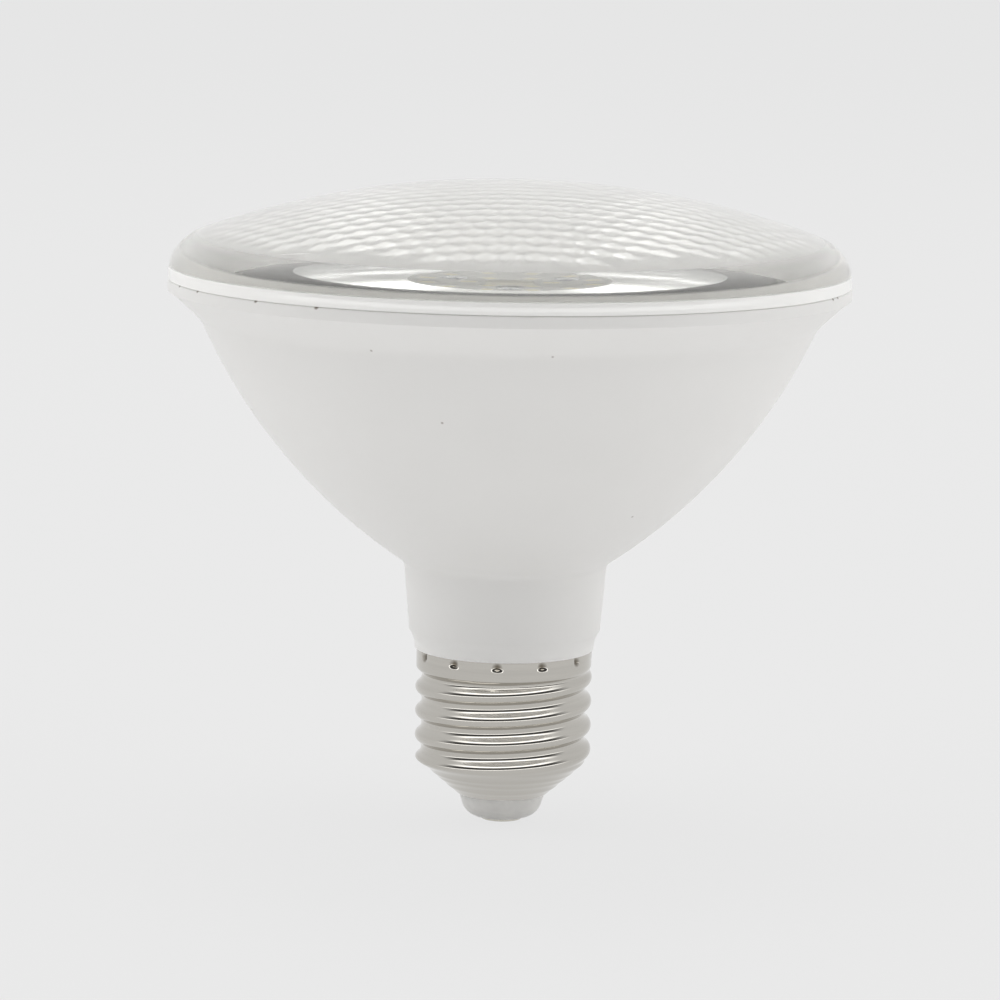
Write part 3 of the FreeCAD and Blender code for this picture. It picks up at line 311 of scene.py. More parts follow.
class StageSettings(bpy.types.PropertyGroup):
    """Camera, lights and background."""

    distance: length("Distance", "Camera in front of the lamp", 617.0)
    height: length("Height", "Camera above the contact tip", 141.97)
    aside: length("Aside", "Camera to the side of the lamp", -0.95)
    pitch: bpy.props.FloatProperty(
        name="Pitch", description="Tilt of the camera below level", default=radians(8.67), subtype="ANGLE",
    )
    roll: bpy.props.FloatProperty(
        name="Roll", description="Turn of the camera about its view", default=radians(0.92), subtype="ANGLE",
    )
    focal: bpy.props.FloatProperty(
        name="Focal length", description="Lens of the camera in millimetres", default=152.2, min=10.0,
    )
    backdrop: colour("Backdrop", "Pale grey behind the lamp", (0.802, 0.802, 0.802))
    floor_glow: share("Floor glow", "Share of the floor that is as pale as the backdrop", 0.93)
    front: share("Front", "How light the room is on the camera's side", 0.45)
    dark: share("Dark", "How light the darkest reflections are", 0.03)


# Modelling by hand: small steps that several pieces share

def deselected():
    """Leaves edit mode and selects nothing."""
    if bpy.context.object and bpy.context.object.mode == "EDIT":
        bpy.ops.object.mode_set(mode="OBJECT")
    bpy.ops.object.select_all(action="DESELECT")


def only(piece):
    """Selects one object and makes it active."""
    deselected()
    piece.select_set(True)
    bpy.context.view_layer.objects.active = piece
    return piece


def pick(test):
    """Selects the vertices in edit mode whose place passes a test."""
    bpy.ops.mesh.select_all(action="DESELECT")
    mesh = bmesh.from_edit_mesh(bpy.context.object.data)
    for vertex in mesh.verts:
        vertex.select = test(vertex.co)
    mesh.select_flush(True)
    bmesh.update_edit_mesh(bpy.context.object.data)


def place_of(radius, height):
    """A point of a half section, in the plane of X and Z."""
    return Vector((radius, 0.0, height))


def start_section(name, radius, height):
    """A new mesh of one vertex at the start of a half section, in edit mode."""
    deselected()
    bpy.ops.mesh.primitive_plane_add(size=MM, enter_editmode=True)
    bpy.context.object.name = name
    bpy.ops.mesh.merge(type="CENTER")
    bpy.ops.transform.translate(value=place_of(radius, height))
    return place_of(radius, height)


def line_to(here, radius, height):
    """A straight run of the section."""
    there = place_of(radius, height)
    bpy.ops.mesh.extrude_vertices_move(TRANSFORM_OT_translate={"value": there - here})
    return there


def arc_to(here, radius, height, arc, turn, steps):
    """A round run of the section, CLOCKWISE or ANTICLOCKWISE."""
    there = place_of(radius, height)
    chord = there - here
    side = Vector((-chord.z, 0.0, chord.x)).normalized()
    centre = (here + there) / 2 + side * turn * sqrt(max(arc ** 2 - chord.length_squared / 4, 0.0))
    begin = atan2(here.z - centre.z, here.x - centre.x)
    finish = atan2(there.z - centre.z, there.x - centre.x)
    sweep = (finish - begin + pi) % tau - pi
    bpy.ops.mesh.spin(steps=steps, angle=sweep, center=centre, axis=(0.0, 1.0, 0.0))
    return there


def round_corner(radius, height, reach, segments=5):
    """Rounds one corner of the section."""
    corner = place_of(radius, height)
    pick(lambda place: (place - corner).length < MERGE)
    bpy.ops.mesh.bevel(offset=reach, offset_type="OFFSET", segments=segments, affect="VERTICES")


def section(name, corners, roundings=()):
    """A closed or open half section. A corner is (radius, height), or (radius, height, arc, turn, steps)
    where it is reached by an arc."""
    here = start_section(name, *corners[0][:2])
    for corner in corners[1:]:
        here = line_to(here, *corner) if len(corner) == 2 else arc_to(here, *corner)
    for rounding in roundings:
        round_corner(*rounding)


def merged(threshold):
    """Selects the whole mesh in edit mode and merges its points that lie closer than a threshold."""
    bpy.ops.mesh.select_all(action="SELECT")
    bpy.ops.mesh.remove_doubles(threshold=threshold)


def turned(steps):
    """Turns the section in edit mode about the axis."""
    bpy.ops.mesh.select_all(action="SELECT")
    bpy.ops.mesh.spin(steps=steps, angle=tau, center=(0.0, 0.0, 0.0), axis=(0.0, 0.0, 1.0))


def spun(steps):
    """Turns a closed section in edit mode about the axis, and closes the turn."""
    merged(FINE_MERGE)
    turned(steps)
    merged(FINE_MERGE)
    bpy.ops.mesh.normals_make_consistent(inside=False)
    bpy.ops.object.mode_set(mode="OBJECT")
    return bpy.context.object


def copied(piece):
    """A copy of a piece, with its own mesh."""
    copy = piece.copy()
    copy.data = piece.data.copy()
    bpy.context.collection.objects.link(copy)
    return copy


def smooth(piece, angle=radians(32)):
    """Shades a piece smooth except across its real edges."""
    only(piece)
    bpy.ops.object.shade_smooth_by_angle(angle=angle)
    return piece


def painted(piece, material, test=None):
    """Adds a material, and gives it to the faces whose middle and normal pass a test, or to all."""
    piece.data.materials.append(material)
    index = len(piece.data.materials) - 1
    for face in piece.data.polygons:
        if test is None or test(face.center, face.normal):
            face.material_index = index


def finished(piece, slot, *nodes):
    """Gives a piece the body that it rides on and hides the CAD nodes that it replaces; the slot is not used.
    """
    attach(piece, "root")
    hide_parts(*nodes)
    return piece


def cut_away(piece, low, high):
    """Cuts a box out of a piece, from its lowest to its highest corner."""
    low, high = Vector(low), Vector(high)
    deselected()
    bpy.ops.mesh.primitive_cube_add(size=1.0, location=(low + high) / 2, scale=high - low)
    box = bpy.context.object
    cut = piece.modifiers.new("cut", "BOOLEAN")
    cut.object = box
    cut.solver = "EXACT"
    only(piece)
    bpy.ops.object.modifier_apply(modifier=cut.name)
    bpy.data.objects.remove(box)


def moved(mesh, place_for):
    """Moves each vertex of a mesh to the place that a function gives for it."""
    for vertex in mesh.vertices:
        vertex.co = place_for(vertex.co)
    mesh.update()


# Materials

class Wiring:
    """A node tree with short ways to add and join nodes."""

    def __init__(self, tree):
        self.tree = tree

    def add(self, kind, **values):
        """A node, with its own properties set."""
        node = self.tree.nodes.new(kind)
        for name, value in values.items():
            setattr(node, name, value)
        return node

    def join(self, source, target):
        """A link."""
        self.tree.links.new(source, target)

    def math(self, operation, first, second=None):
        """Arithmetic on one socket and a second socket or number."""
        node = self.add("ShaderNodeMath", operation=operation)
        self.join(first, node.inputs[0])
        if isinstance(second, float):
            node.inputs[1].default_value = second
        elif second is not None:
            self.join(second, node.inputs[1])
        return node.outputs[0]

    def part(self, vector, axis):
        """One part of a vector."""
        node = self.add("ShaderNodeSeparateXYZ")
        self.join(vector, node.inputs[0])
        return node.outputs[axis]

    def rise(self, value, start, end):
        """0 at a start and 1 at an end, which may be the lower one, with a smooth change between them."""
        node = self.add("ShaderNodeMapRange", interpolation_type="SMOOTHSTEP")
        node.inputs["From Min"].default_value = start
        node.inputs["From Max"].default_value = end
        self.join(value, node.inputs["Value"])
        return node.outputs["Result"]

    def ramp(self, value, *stops):
        """A ramp through (position, colour or grey) stops."""
        node = self.add("ShaderNodeValToRGB")
        elements = node.color_ramp.elements
        while len(elements) < len(stops):
            elements.new(1.0)
        for element, (position, tone) in zip(elements, stops):
            element.position = position
            element.color = (tone, tone, tone, 1.0) if isinstance(tone, float) else (*tone, 1.0)
        self.join(value, node.inputs["Fac"])
        return node.outputs["Color"]

    def mixed(self, mask, first, second):
        """The first colour where a mask is 0, and the second where it is 1. Each is a socket or a colour."""
        node = self.add("ShaderNodeMix", data_type="RGBA")
        self.join(mask, node.inputs["Factor"])
        for socket, tone in ((node.inputs[6], first), (node.inputs[7], second)):
            if isinstance(tone, bpy.types.NodeSocket):
                self.join(tone, socket)
            else:
                socket.default_value = (*tone, 1.0)
        return node.outputs[2]

    def near(self, place, middle, reach, core):
        """1 round a point or a way to look, up to the core's share of a reach, and 0 past the reach."""
        gap = self.add("ShaderNodeVectorMath", operation="DISTANCE")
        self.join(place, gap.inputs[0])
        gap.inputs[1].default_value = middle
        return self.rise(gap.outputs["Value"], reach, reach * core)

    def layered(self, mask, first, second):
        """The first shader where a mask is 0, and the second where it is 1."""
        mix = self.add("ShaderNodeMixShader")
        for source, socket in zip((mask, first, second), mix.inputs):
            self.join(source, socket)
        return mix.outputs[0]

    def seen(self, *kinds):
        """1 for the kinds of rays that are named, such as Camera, and 0 for the others."""
        path = self.add("ShaderNodeLightPath")
        total = path.outputs[f"Is {kinds[0]} Ray"]
        for kind in kinds[1:]:
            total = self.math("MAXIMUM", total, path.outputs[f"Is {kind} Ray"])
        return total


class Paint(Wiring):
    """A node material, on Object coordinates."""

    def __init__(self, name):
        self.material = bpy.data.materials.new(name)
        self.material.use_nodes = True
        super().__init__(self.material.node_tree)
        self.shader = self.tree.nodes["Principled BSDF"]
        self.place = self.add("ShaderNodeTexCoord").outputs["Object"]

    def set(self, **values):
        """Uniform values, straight on the shader."""
        for name, value in values.items():
            socket = self.shader.inputs[name.replace("_", " ")]
            socket.default_value = (*value, 1.0) if isinstance(value, tuple) and len(value) == 3 else value

    def stretched(self, scale):
        """Object coordinates with their axes scaled."""
        node = self.add("ShaderNodeMapping")
        node.inputs["Scale"].default_value = scale
        self.join(self.place, node.inputs["Vector"])
        return node.outputs["Vector"]

    def noise(self, scale, detail=3.0, roughness=0.5, vector=None):
        """A noise of so many grains a metre."""
        node = self.add("ShaderNodeTexNoise")
        node.inputs["Scale"].default_value = scale
        node.inputs["Detail"].default_value = detail
        node.inputs["Roughness"].default_value = roughness
        self.join(vector or self.place, node.inputs["Vector"])
        return node.outputs["Fac"]

    def spread(self, value, low, high):
        """A value from 0 to 1 spread between two numbers."""
        node = self.add("ShaderNodeMapRange")
        node.inputs["To Min"].default_value = low
        node.inputs["To Max"].default_value = high
        self.join(value, node.inputs["Value"])
        return node.outputs["Result"]

    def bump(self, height, distance, strength=1.0):
        """Fine relief, of so many metres."""
        node = self.add("ShaderNodeBump")
        node.inputs["Distance"].default_value = distance
        node.inputs["Strength"].default_value = strength
        self.join(height, node.inputs["Height"])
        self.join(node.outputs["Normal"], self.shader.inputs["Normal"])


def grey(level):
    """A plain grey."""
    return (level, level, level)


def shade(tone, amount):
    """A colour made darker or lighter."""
    return tuple(min(part * amount, 1.0) for part in tone)


def near_marks(paint, marks, reach):
    """1 at each of the marks, fading to 0 over a reach."""
    total = None
    for mark in marks:
        near = paint.near(paint.place, mark, reach, MARK_CORE)
        total = near if total is None else paint.math("MAXIMUM", total, near)
    return total


def grained(name, tone, metal, gloss, grain, relief=0.0, stretch=(1.0, 1.0, 1.0)):
    """A finish of so many grains a metre, in its tone, its gloss and, with a relief, its surface."""
    paint = Paint(name)
    grains = paint.noise(grain, 4.0, 0.55, paint.stretched(stretch))
    paint.join(paint.ramp(grains, (0.3, shade(tone, 0.9)), (0.7, tone)), paint.shader.inputs["Base Color"])
    paint.join(paint.spread(grains, *gloss), paint.shader.inputs["Roughness"])
    paint.set(Metallic=metal)
    if relief:
        paint.bump(grains, relief, 0.5)
    return paint


def outside(paint, axis, low, high):
    """1 past either of two places along an axis of the piece, and 0 between them."""
    value = paint.part(paint.place, axis)
    off = paint.math("ABSOLUTE", paint.math("SUBTRACT", value, (low + high) / 2))
    return paint.math("GREATER_THAN", off, (high - low) / 2)


def recoloured(paint, mask, tone, metal=None):
    """Another tone where a mask is 1, and bare metal there where metal is set."""
    colour_socket = paint.shader.inputs["Base Color"]
    paint.join(paint.mixed(mask, colour_socket.links[0].from_socket, tone), colour_socket)
    if metal:
        paint.join(mask, paint.shader.inputs["Metallic"])
    return paint


def clear_plastic(settings):
    """Clear polycarbonate, polished."""
    paint = Paint("clear_plastic")
    paint.set(Base_Color=tuple(settings.clear), IOR=PLASTIC_IOR)
    height = paint.add("ShaderNodeMapRange")
    height.inputs["From Min"].default_value = LENS_LOW.z
    height.inputs["From Max"].default_value = LENS_HIGH.z
    paint.join(paint.part(paint.place, "Z"), height.inputs["Value"])
    paint.join(paint.ramp(height.outputs["Result"], *CLARITY), paint.shader.inputs["Transmission Weight"])
    paint.join(paint.spread(paint.noise(90.0), 0.01, 0.05), paint.shader.inputs["Roughness"])
    return paint.material


def clear_cells(settings):
    """The same plastic on the side of the honeycomb, a little less polished."""
    paint = Paint("clear_cells")
    paint.set(Base_Color=tuple(settings.clear), IOR=PLASTIC_IOR, Transmission_Weight=settings.cell_clarity)
    rough = settings.cell_gloss
    paint.join(paint.spread(paint.noise(260.0), rough * 0.8, rough * 1.2), paint.shader.inputs["Roughness"])
    return paint.material


def white_moulding(settings):
    """Satin white plastic with the specks of dirt that lie in the seam and on the bowl."""
    paint = Paint("white_moulding")
    white = settings.white
    cloud = paint.noise(60.0, 4.0)
    paint.join(paint.ramp(cloud, (0.3, shade(white, 0.985)), (0.7, white)), paint.shader.inputs["Base Color"])
    paint.join(paint.spread(paint.noise(700.0), 0.36, 0.5), paint.shader.inputs["Roughness"])
    paint.set(Specular_IOR_Level=0.45)
    paint.bump(paint.noise(2600.0, 2.0), RELIEF, 0.25)
    recoloured(paint, near_marks(paint, SEAM_SPECKS, SEAM_SPECK), SEAM_DIRT)
    recoloured(paint, near_marks(paint, BOWL_SPECKS, BOWL_SPECK), BOWL_DIRT)
    return paint.material


def nickel(settings):
    """Nickel plating on rolled sheet, with painted shade in the punch marks."""
    paint = Paint("nickel_plating")
    tone = settings.nickel
    streaks = paint.noise(420.0, 4.0, 0.6, paint.stretched((0.12, 0.12, 3.0)))
    paint.join(paint.ramp(streaks, (0.3, shade(tone, 0.93)), (0.7, tone)), paint.shader.inputs["Base Color"])
    paint.join(paint.spread(streaks, 0.04, 0.09), paint.shader.inputs["Roughness"])
    paint.set(Metallic=1.0)
    # Painted shade darkens the plating round each punch mark
    middle = SHELL_HIGH.z - settings.punch * PUNCH_SHADE_MIDDLE
    marks = []
    for mark in range(PUNCH_MARKS):
        angle = PUNCH_START + mark * tau / PUNCH_MARKS
        marks.append((settings.skirt * cos(angle), settings.skirt * sin(angle), middle))
    recoloured(paint, near_marks(paint, marks, settings.punch * PUNCH_SHADE_REACH), settings.punch_shade)
    return paint.material


def metal_coat(settings):
    """The vacuum metal coat on the inside of the reflector."""
    return grained("metal_coat", settings.silver, 1.0, (0.06, 0.14), 120.0).material


def reflector_back(settings):
    """White moulding behind the coat, with painted shade darkening its lip."""
    paint = grained("reflector_back", settings.back, 0.0, (0.35, 0.5), 400.0, RELIEF)
    # Painted shade: the top of the lip fades to a dark colour
    start = REFLECTOR_HIGH.z - settings.lip_shade_height
    lip = paint.rise(paint.part(paint.place, "Z"), start, start + settings.lip_shade_fade)
    return recoloured(paint, lip, settings.lip).material


def ring_traces(tone):
    """White solder mask over ring tracks."""
    paint = grained("white_solder_mask", tone, 0.0, (0.3, 0.42), 900.0, RELIEF)
    flat = paint.add("ShaderNodeVectorMath", operation="MULTIPLY")
    flat.inputs[1].default_value = (1.0, 1.0, 0.0)
    paint.join(paint.place, flat.inputs[0])
    radius = paint.add("ShaderNodeVectorMath", operation="LENGTH")
    paint.join(flat.outputs[0], radius.inputs[0])
    for ring in RING_TRACKS:
        off = paint.math("ABSOLUTE", paint.math("SUBTRACT", radius.outputs["Value"], ring))
        edge = paint.math("ABSOLUTE", paint.math("SUBTRACT", off, TRACK_HALF))
        recoloured(paint, paint.math("LESS_THAN", edge, TRACK_EDGE), shade(tone, 0.86))
    return paint.material


def board_tracks(tone):
    """Green solder mask over tracks."""
    paint = grained("green_solder_mask", tone, 0.0, (0.3, 0.45), 1200.0)
    tracks = paint.add("ShaderNodeTexBrick", offset=0.5)
    tracks.inputs["Scale"].default_value = 160.0
    tracks.inputs["Mortar Size"].default_value = 0.06
    upright = paint.add("ShaderNodeMapping")
    upright.inputs["Rotation"].default_value = (pi / 2, 0.0, 0.0)
    paint.join(paint.place, upright.inputs["Vector"])
    paint.join(upright.outputs["Vector"], tracks.inputs["Vector"])
    recoloured(paint, tracks.outputs["Fac"], shade(tone, 1.5))
    return paint.material


def wound_wire(tone):
    """Turns of enamelled wire, one above the other."""
    paint = grained("enamelled_wire", tone, 0.8, (0.25, 0.4), 700.0)
    turns = paint.add("ShaderNodeTexWave", wave_type="BANDS", bands_direction="Z")
    turns.inputs["Scale"].default_value = 950.0
    paint.join(paint.place, turns.inputs["Vector"])
    paint.bump(turns.outputs["Fac"], 0.08 * MM, 0.8)
    return paint.material


def leaded(name, node, axis, bare, tone, gloss):
    """A component whose ends, so long along an axis, are bare tinned metal."""
    low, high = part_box(node)
    index = "XYZ".index(axis)
    paint = grained(name, tone, 0.0, gloss, 1500.0, RELIEF)
    mask = outside(paint, axis, low[index] + bare[0], high[index] - bare[1])
    return recoloured(paint, mask, TINNED, True).material


def studio_floor(stage):
    """A pale floor that keeps the lamp's shadow and runs into the backdrop."""
    paint = Paint("studio_floor")
    grains = paint.noise(40.0)
    tone = stage.backdrop
    paint.join(paint.ramp(grains, (0.3, shade(tone, 0.99)), (0.7, tone)), paint.shader.inputs["Base Color"])
    paint.set(Roughness=0.9, Specular_IOR_Level=0.1)
    glow = paint.add("ShaderNodeEmission")
    glow.inputs["Color"].default_value = (*tone, 1.0)
    seen = paint.math("MULTIPLY", paint.seen("Camera", "Glossy", "Transmission"), stage.floor_glow)
    surface = paint.layered(seen, paint.shader.outputs[0], glow.outputs[0])
    paint.join(surface, paint.tree.nodes["Material Output"].inputs["Surface"])
    return paint.material


# Pieces


def outer_lens(settings):
    """The lens without the dome's underside: an open section, turned."""
    apex = LENS_HIGH.z
    rim = LENS_HIGH.x
    dome = settings.dome_radius
    corner = settings.shoulder_radius
    centre = apex - dome
    shoulder = rim - corner
    shoulder_height = centre + sqrt((dome - corner) ** 2 - shoulder ** 2)
    dome_edge = shoulder * dome / (dome - corner)
    dome_edge_height = centre + sqrt(dome ** 2 - dome_edge ** 2)
    base = shoulder_height - settings.land
    spigot = settings.aperture + settings.spigot
    underside = dome - settings.wall
    section("lens_blank", [
        (0.0, apex),
        (dome_edge, dome_edge_height, dome, CLOCKWISE, 28),
        (rim, shoulder_height, corner, CLOCKWISE, 10),
        (rim, base),
        (spigot, base),
        (spigot, LENS_LOW.z),
        (settings.aperture, LENS_LOW.z),
        (settings.aperture, centre + sqrt(underside ** 2 - settings.aperture ** 2)),
    ])
    turned(ROUND_STEPS)
    bpy.ops.object.mode_set(mode="OBJECT")
    return bpy.context.object


def honeycomb(settings):
    """The underside of the lens: a sheet of round cells inside a ring, laid on the dome's inner sphere."""
    pitch = settings.cell_pitch
    side = pitch / sqrt(3)
    sphere = settings.cell_radius
    valley = sqrt(sphere ** 2 - side ** 2)
    reach = settings.aperture - side
    deselected()
    bpy.ops.mesh.primitive_circle_add(vertices=6, radius=side, fill_type="TRIFAN", enter_editmode=True)
    bpy.ops.mesh.subdivide(number_cuts=2)
    bpy.ops.object.mode_set(mode="OBJECT")
    cell = bpy.context.object
    moved(cell.data, lambda p: Vector((p.x, p.y, valley - sqrt(sphere ** 2 - p.x ** 2 - p.y ** 2))))
    # The cells have a corner at +-Y, so they sit in rows along X, each half a cell along from the last
    step_y = side * 1.5
    columns = int(settings.aperture / pitch) + 1
    rows = int(settings.aperture / step_y) + 1
    cells = []
    for row in range(-rows, rows + 1):
        for column in range(-columns, columns + 1):
            x = (column + (row % 2) / 2) * pitch
            y = row * step_y
            if hypot(x, y) < reach:
                cells.append(copied(cell))
                cells[-1].location = (x, y, 0.0)
    bpy.data.objects.remove(cell)
    deselected()
    bpy.ops.mesh.primitive_circle_add(vertices=ROUND_STEPS, radius=settings.aperture)
    sheet = bpy.context.object
    sheet.name = "honeycomb"
    for copy in cells:
        copy.select_set(True)
    bpy.ops.object.transform_apply(location=True, rotation=True, scale=True)
    bpy.ops.object.join()
    bpy.ops.object.mode_set(mode="EDIT")
    merged(MERGE)
    bpy.ops.mesh.select_mode(type="EDGE")
    bpy.ops.mesh.select_all(action="DESELECT")
    bpy.ops.mesh.select_non_manifold(extend=False, use_wire=True, use_boundary=True, use_multi_face=False,
                                     use_non_contiguous=False, use_verts=False)
    bpy.ops.mesh.fill(use_beauty=True)
    bpy.ops.mesh.select_mode(type="VERT")
    bpy.ops.object.mode_set(mode="OBJECT")
    underside = settings.dome_radius - settings.wall
    centre = LENS_HIGH.z - settings.dome_radius
    moved(sheet.data, lambda p: Vector((p.x, p.y, p.z + centre + sqrt(underside ** 2 - p.x ** 2 - p.y ** 2))))
    return sheet


class BULB_OT_lens(bpy.types.Operator):
    """Model the clear lens with its honeycomb"""

    bl_idname = "bulb.lens"
    bl_label = "Lens"

    def execute(self, context):
        settings = context.scene.bulb_lens
        blank = outer_lens(settings)
        sheet = honeycomb(settings)
        only(blank)
        sheet.select_set(True)
        bpy.ops.object.join()
        blank.name = "clear_lens"
        bpy.ops.object.mode_set(mode="EDIT")
        merged(MERGE)
        bpy.ops.mesh.normals_make_consistent(inside=False)
        bpy.ops.object.mode_set(mode="OBJECT")
        edge = settings.aperture - 2 * MERGE
        painted(blank, clear_plastic(settings))
        painted(blank, clear_cells(settings), lambda place, normal: normal.z < 0 and place.xy.length < edge)
        finished(smooth(blank), "clear_lens", "cover_lens")
        return {"FINISHED"}


class BULB_OT_housing(bpy.types.Operator):
    """Model the white housing with its rim, bowl, neck and boss"""

    bl_idname = "bulb.housing"
    bl_label = "Housing"

    def execute(self, context):
        settings = context.scene.bulb_housing
        rim = HOUSING_HIGH.x
        rim_top = HOUSING_HIGH.z
        low = HOUSING_LOW.z
        band_foot = rim_top - settings.band
        ledge = settings.ledge

        def bowl_height(arc, radius):
            return settings.bowl_centre - sqrt(arc ** 2 - (radius + settings.bowl_offset) ** 2)

        def bowl_reach(arc, height):
            return sqrt(arc ** 2 - (settings.bowl_centre - height) ** 2) - settings.bowl_offset

        outer_arc = settings.bowl_radius
        inner_arc = outer_arc - settings.wall
        neck_foot = SHELL_HIGH.z + settings.neck_gap
        neck_floor = neck_foot + settings.neck_floor
        collar_foot = neck_foot - settings.collar_height
        crease = bowl_height(outer_arc, settings.neck_top)
        corner = bowl_height(outer_arc, settings.corner)
        section("white_housing", [
            (settings.bore, rim_top),
            (settings.bore, ledge),
            (bowl_reach(inner_arc, ledge), ledge),
            (settings.neck_bore, bowl_height(inner_arc, settings.neck_bore), inner_arc, CLOCKWISE, 30),
            (settings.neck_bore, neck_floor),
            (settings.boss_bore, neck_floor),
            (settings.boss_bore, low),
            (settings.boss, low),
            (settings.boss, collar_foot),
            (settings.collar, collar_foot),
            (settings.collar, neck_foot),
            (settings.neck_base, neck_foot),
            (settings.neck_low, neck_foot + settings.neck_rise, settings.neck_rounding, CLOCKWISE, 8),
            (settings.neck_top, crease),
            (settings.corner, corner, outer_arc, ANTICLOCKWISE, 40),
            (rim - settings.step, band_foot),
            (rim, band_foot),
            (rim, rim_top),
            (settings.bore, rim_top),
        ], [
            (settings.neck_top, crease, settings.crease),
            (settings.corner, corner, settings.crease),
            (rim, rim_top, settings.rim_edge),
            (rim, band_foot, settings.band_edge, 3),
            (rim - settings.step, band_foot, settings.step_edge, 3),
        ])
        housing = spun(ROUND_STEPS)
        groove = settings.neck_bore + settings.groove
        cut_away(housing, (-groove, -settings.groove_half, neck_floor),
                 (groove, settings.groove_half, crease + settings.groove_rise))
        cut_away(housing, (-settings.notch_half, settings.notch_inside, low - SPARE),
                 (settings.notch_half, settings.notch_outside, low + settings.notch_height))
        painted(housing, white_moulding(settings))
        finished(smooth(housing), "white_housing", "housing")
        return {"FINISHED"}


def passed(value, start, end):
    """How much of the way from a start to an end lies behind a value, from 0 to 1."""
    return min(max((value - start) / (end - start), 0.0), 1.0)


def blended(low, high, height, start, end):
    """A smooth change from one radius to another between two heights."""
    step = passed(height, start, end)
    return low + (high - low) * step * step * (3 - 2 * step)


def rolled_radius(cap, height, turn):
    """The outside of the rolled sheet at a height, for a share of a turn from +X."""
    depth = cap.crest - cap.root
    arc = (depth ** 2 + (cap.pitch / 2) ** 2) / (4 * depth)
    above = (height - cap.first_crest - cap.pitch * turn) % cap.pitch
    off_crest = min(above, cap.pitch - above)
    if off_crest <= cap.pitch / 4:
        wave = cap.crest - arc + sqrt(arc ** 2 - off_crest ** 2)
    else:
        wave = cap.root + arc - sqrt(arc ** 2 - (cap.pitch / 2 - off_crest) ** 2)
    wave = blended(wave, cap.skirt, height, cap.thread_start - cap.skirt_fade, cap.thread_start)
    slope = (cap.cone_top - cap.cone_end) / (cap.thread_end - SHELL_LOW.z)
    cone = cap.cone_end + (height - SHELL_LOW.z) * slope
    for ridge in CONE_RIDGES:
        off = abs(height - ridge) / RIDGE_HALF
        cone += RIDGE_RISE * max(1.0 - off, 0.0)
    return blended(cone, wave, height, cap.thread_end - cap.cone_fade, cap.thread_end + cap.cone_fade)


def punched(cap, height, angle):
    """How far a punch mark presses the sheet in, at a height and an angle."""
    step = tau / PUNCH_MARKS
    off = (angle - PUNCH_START + step / 2) % step - step / 2
    across = abs(off) * cap.skirt / (cap.punch / 2)
    along = (SHELL_HIGH.z - height) / cap.punch
    return cap.punch_depth * passed(across, *PUNCH_SIDES) * passed(along, *PUNCH_FOOT)


class BULB_OT_shell(bpy.types.Operator):
    """Model the screw shell, rolled from sheet"""

    bl_idname = "bulb.shell"
    bl_label = "Screw shell"

    def execute(self, context):
        cap = context.scene.bulb_cap
        height = SHELL_HIGH.z - SHELL_LOW.z
        deselected()
        bpy.ops.mesh.primitive_cylinder_add(
            vertices=SHELL_COLUMNS, radius=cap.skirt, depth=height, end_fill_type="NOTHING",
            location=(0.0, 0.0, SHELL_LOW.z + height / 2),
        )
        shell = bpy.context.object
        shell.name = "rolled_shell"
        bpy.ops.object.transform_apply(location=True)
        bpy.ops.object.mode_set(mode="EDIT")
        bpy.ops.mesh.select_mode(type="EDGE")
        bpy.ops.mesh.select_all(action="DESELECT")
        mesh = bmesh.from_edit_mesh(shell.data)
        for edge in mesh.edges:
            edge.select = abs(edge.verts[0].co.z - edge.verts[1].co.z) > height / 2
        bmesh.update_edit_mesh(shell.data)
        bpy.ops.mesh.subdivide(number_cuts=SHELL_ROWS - 1)
        bpy.ops.mesh.select_mode(type="VERT")
        bpy.ops.object.mode_set(mode="OBJECT")

        def rolled(place):
            angle = atan2(place.y, place.x)
            radius = rolled_radius(cap, place.z, angle / tau) - punched(cap, place.z, angle)
            return Vector((radius * cos(angle), radius * sin(angle), place.z))

        moved(shell.data, rolled)
        solidify = shell.modifiers.new("sheet", "SOLIDIFY")
        solidify.thickness = cap.sheet
        solidify.offset = -1.0
        only(shell)
        bpy.ops.object.modifier_apply(modifier=solidify.name)
        painted(shell, nickel(cap))
        finished(smooth(shell, radians(40)), "nickel_shell", "screw_shell")
        return {"FINISHED"}


class BULB_OT_insulator(bpy.types.Operator):
    """Model the insulator at the foot of the cap"""

    bl_idname = "bulb.insulator"
    bl_label = "Insulator"

    def execute(self, context):
        cap = context.scene.bulb_cap
        low = INSULATOR_LOW.z
        top = INSULATOR_HIGH.z
        section("foot_insulator", [
            (cap.foot_bore, low),
            (cap.foot, low),
            (cap.foot_side, low + cap.foot_round_height, cap.foot_round, ANTICLOCKWISE, 8),
            (cap.foot_neck, SHELL_LOW.z - cap.foot_collar),
            (cap.foot_neck, SHELL_LOW.z),
            (INSULATOR_HIGH.x, top),
            (cap.foot_bore, top),
            (cap.foot_bore, low),
        ])
        insulator = spun(FOOT_STEPS)
        pale = grained("insulator_plastic", cap.insulator, 0.0, (0.36, 0.46), 500.0, 2 * RELIEF)
        painted(insulator, pale.material)
        finished(smooth(insulator), "insulator_plastic", "cap_insulator")
        return {"FINISHED"}


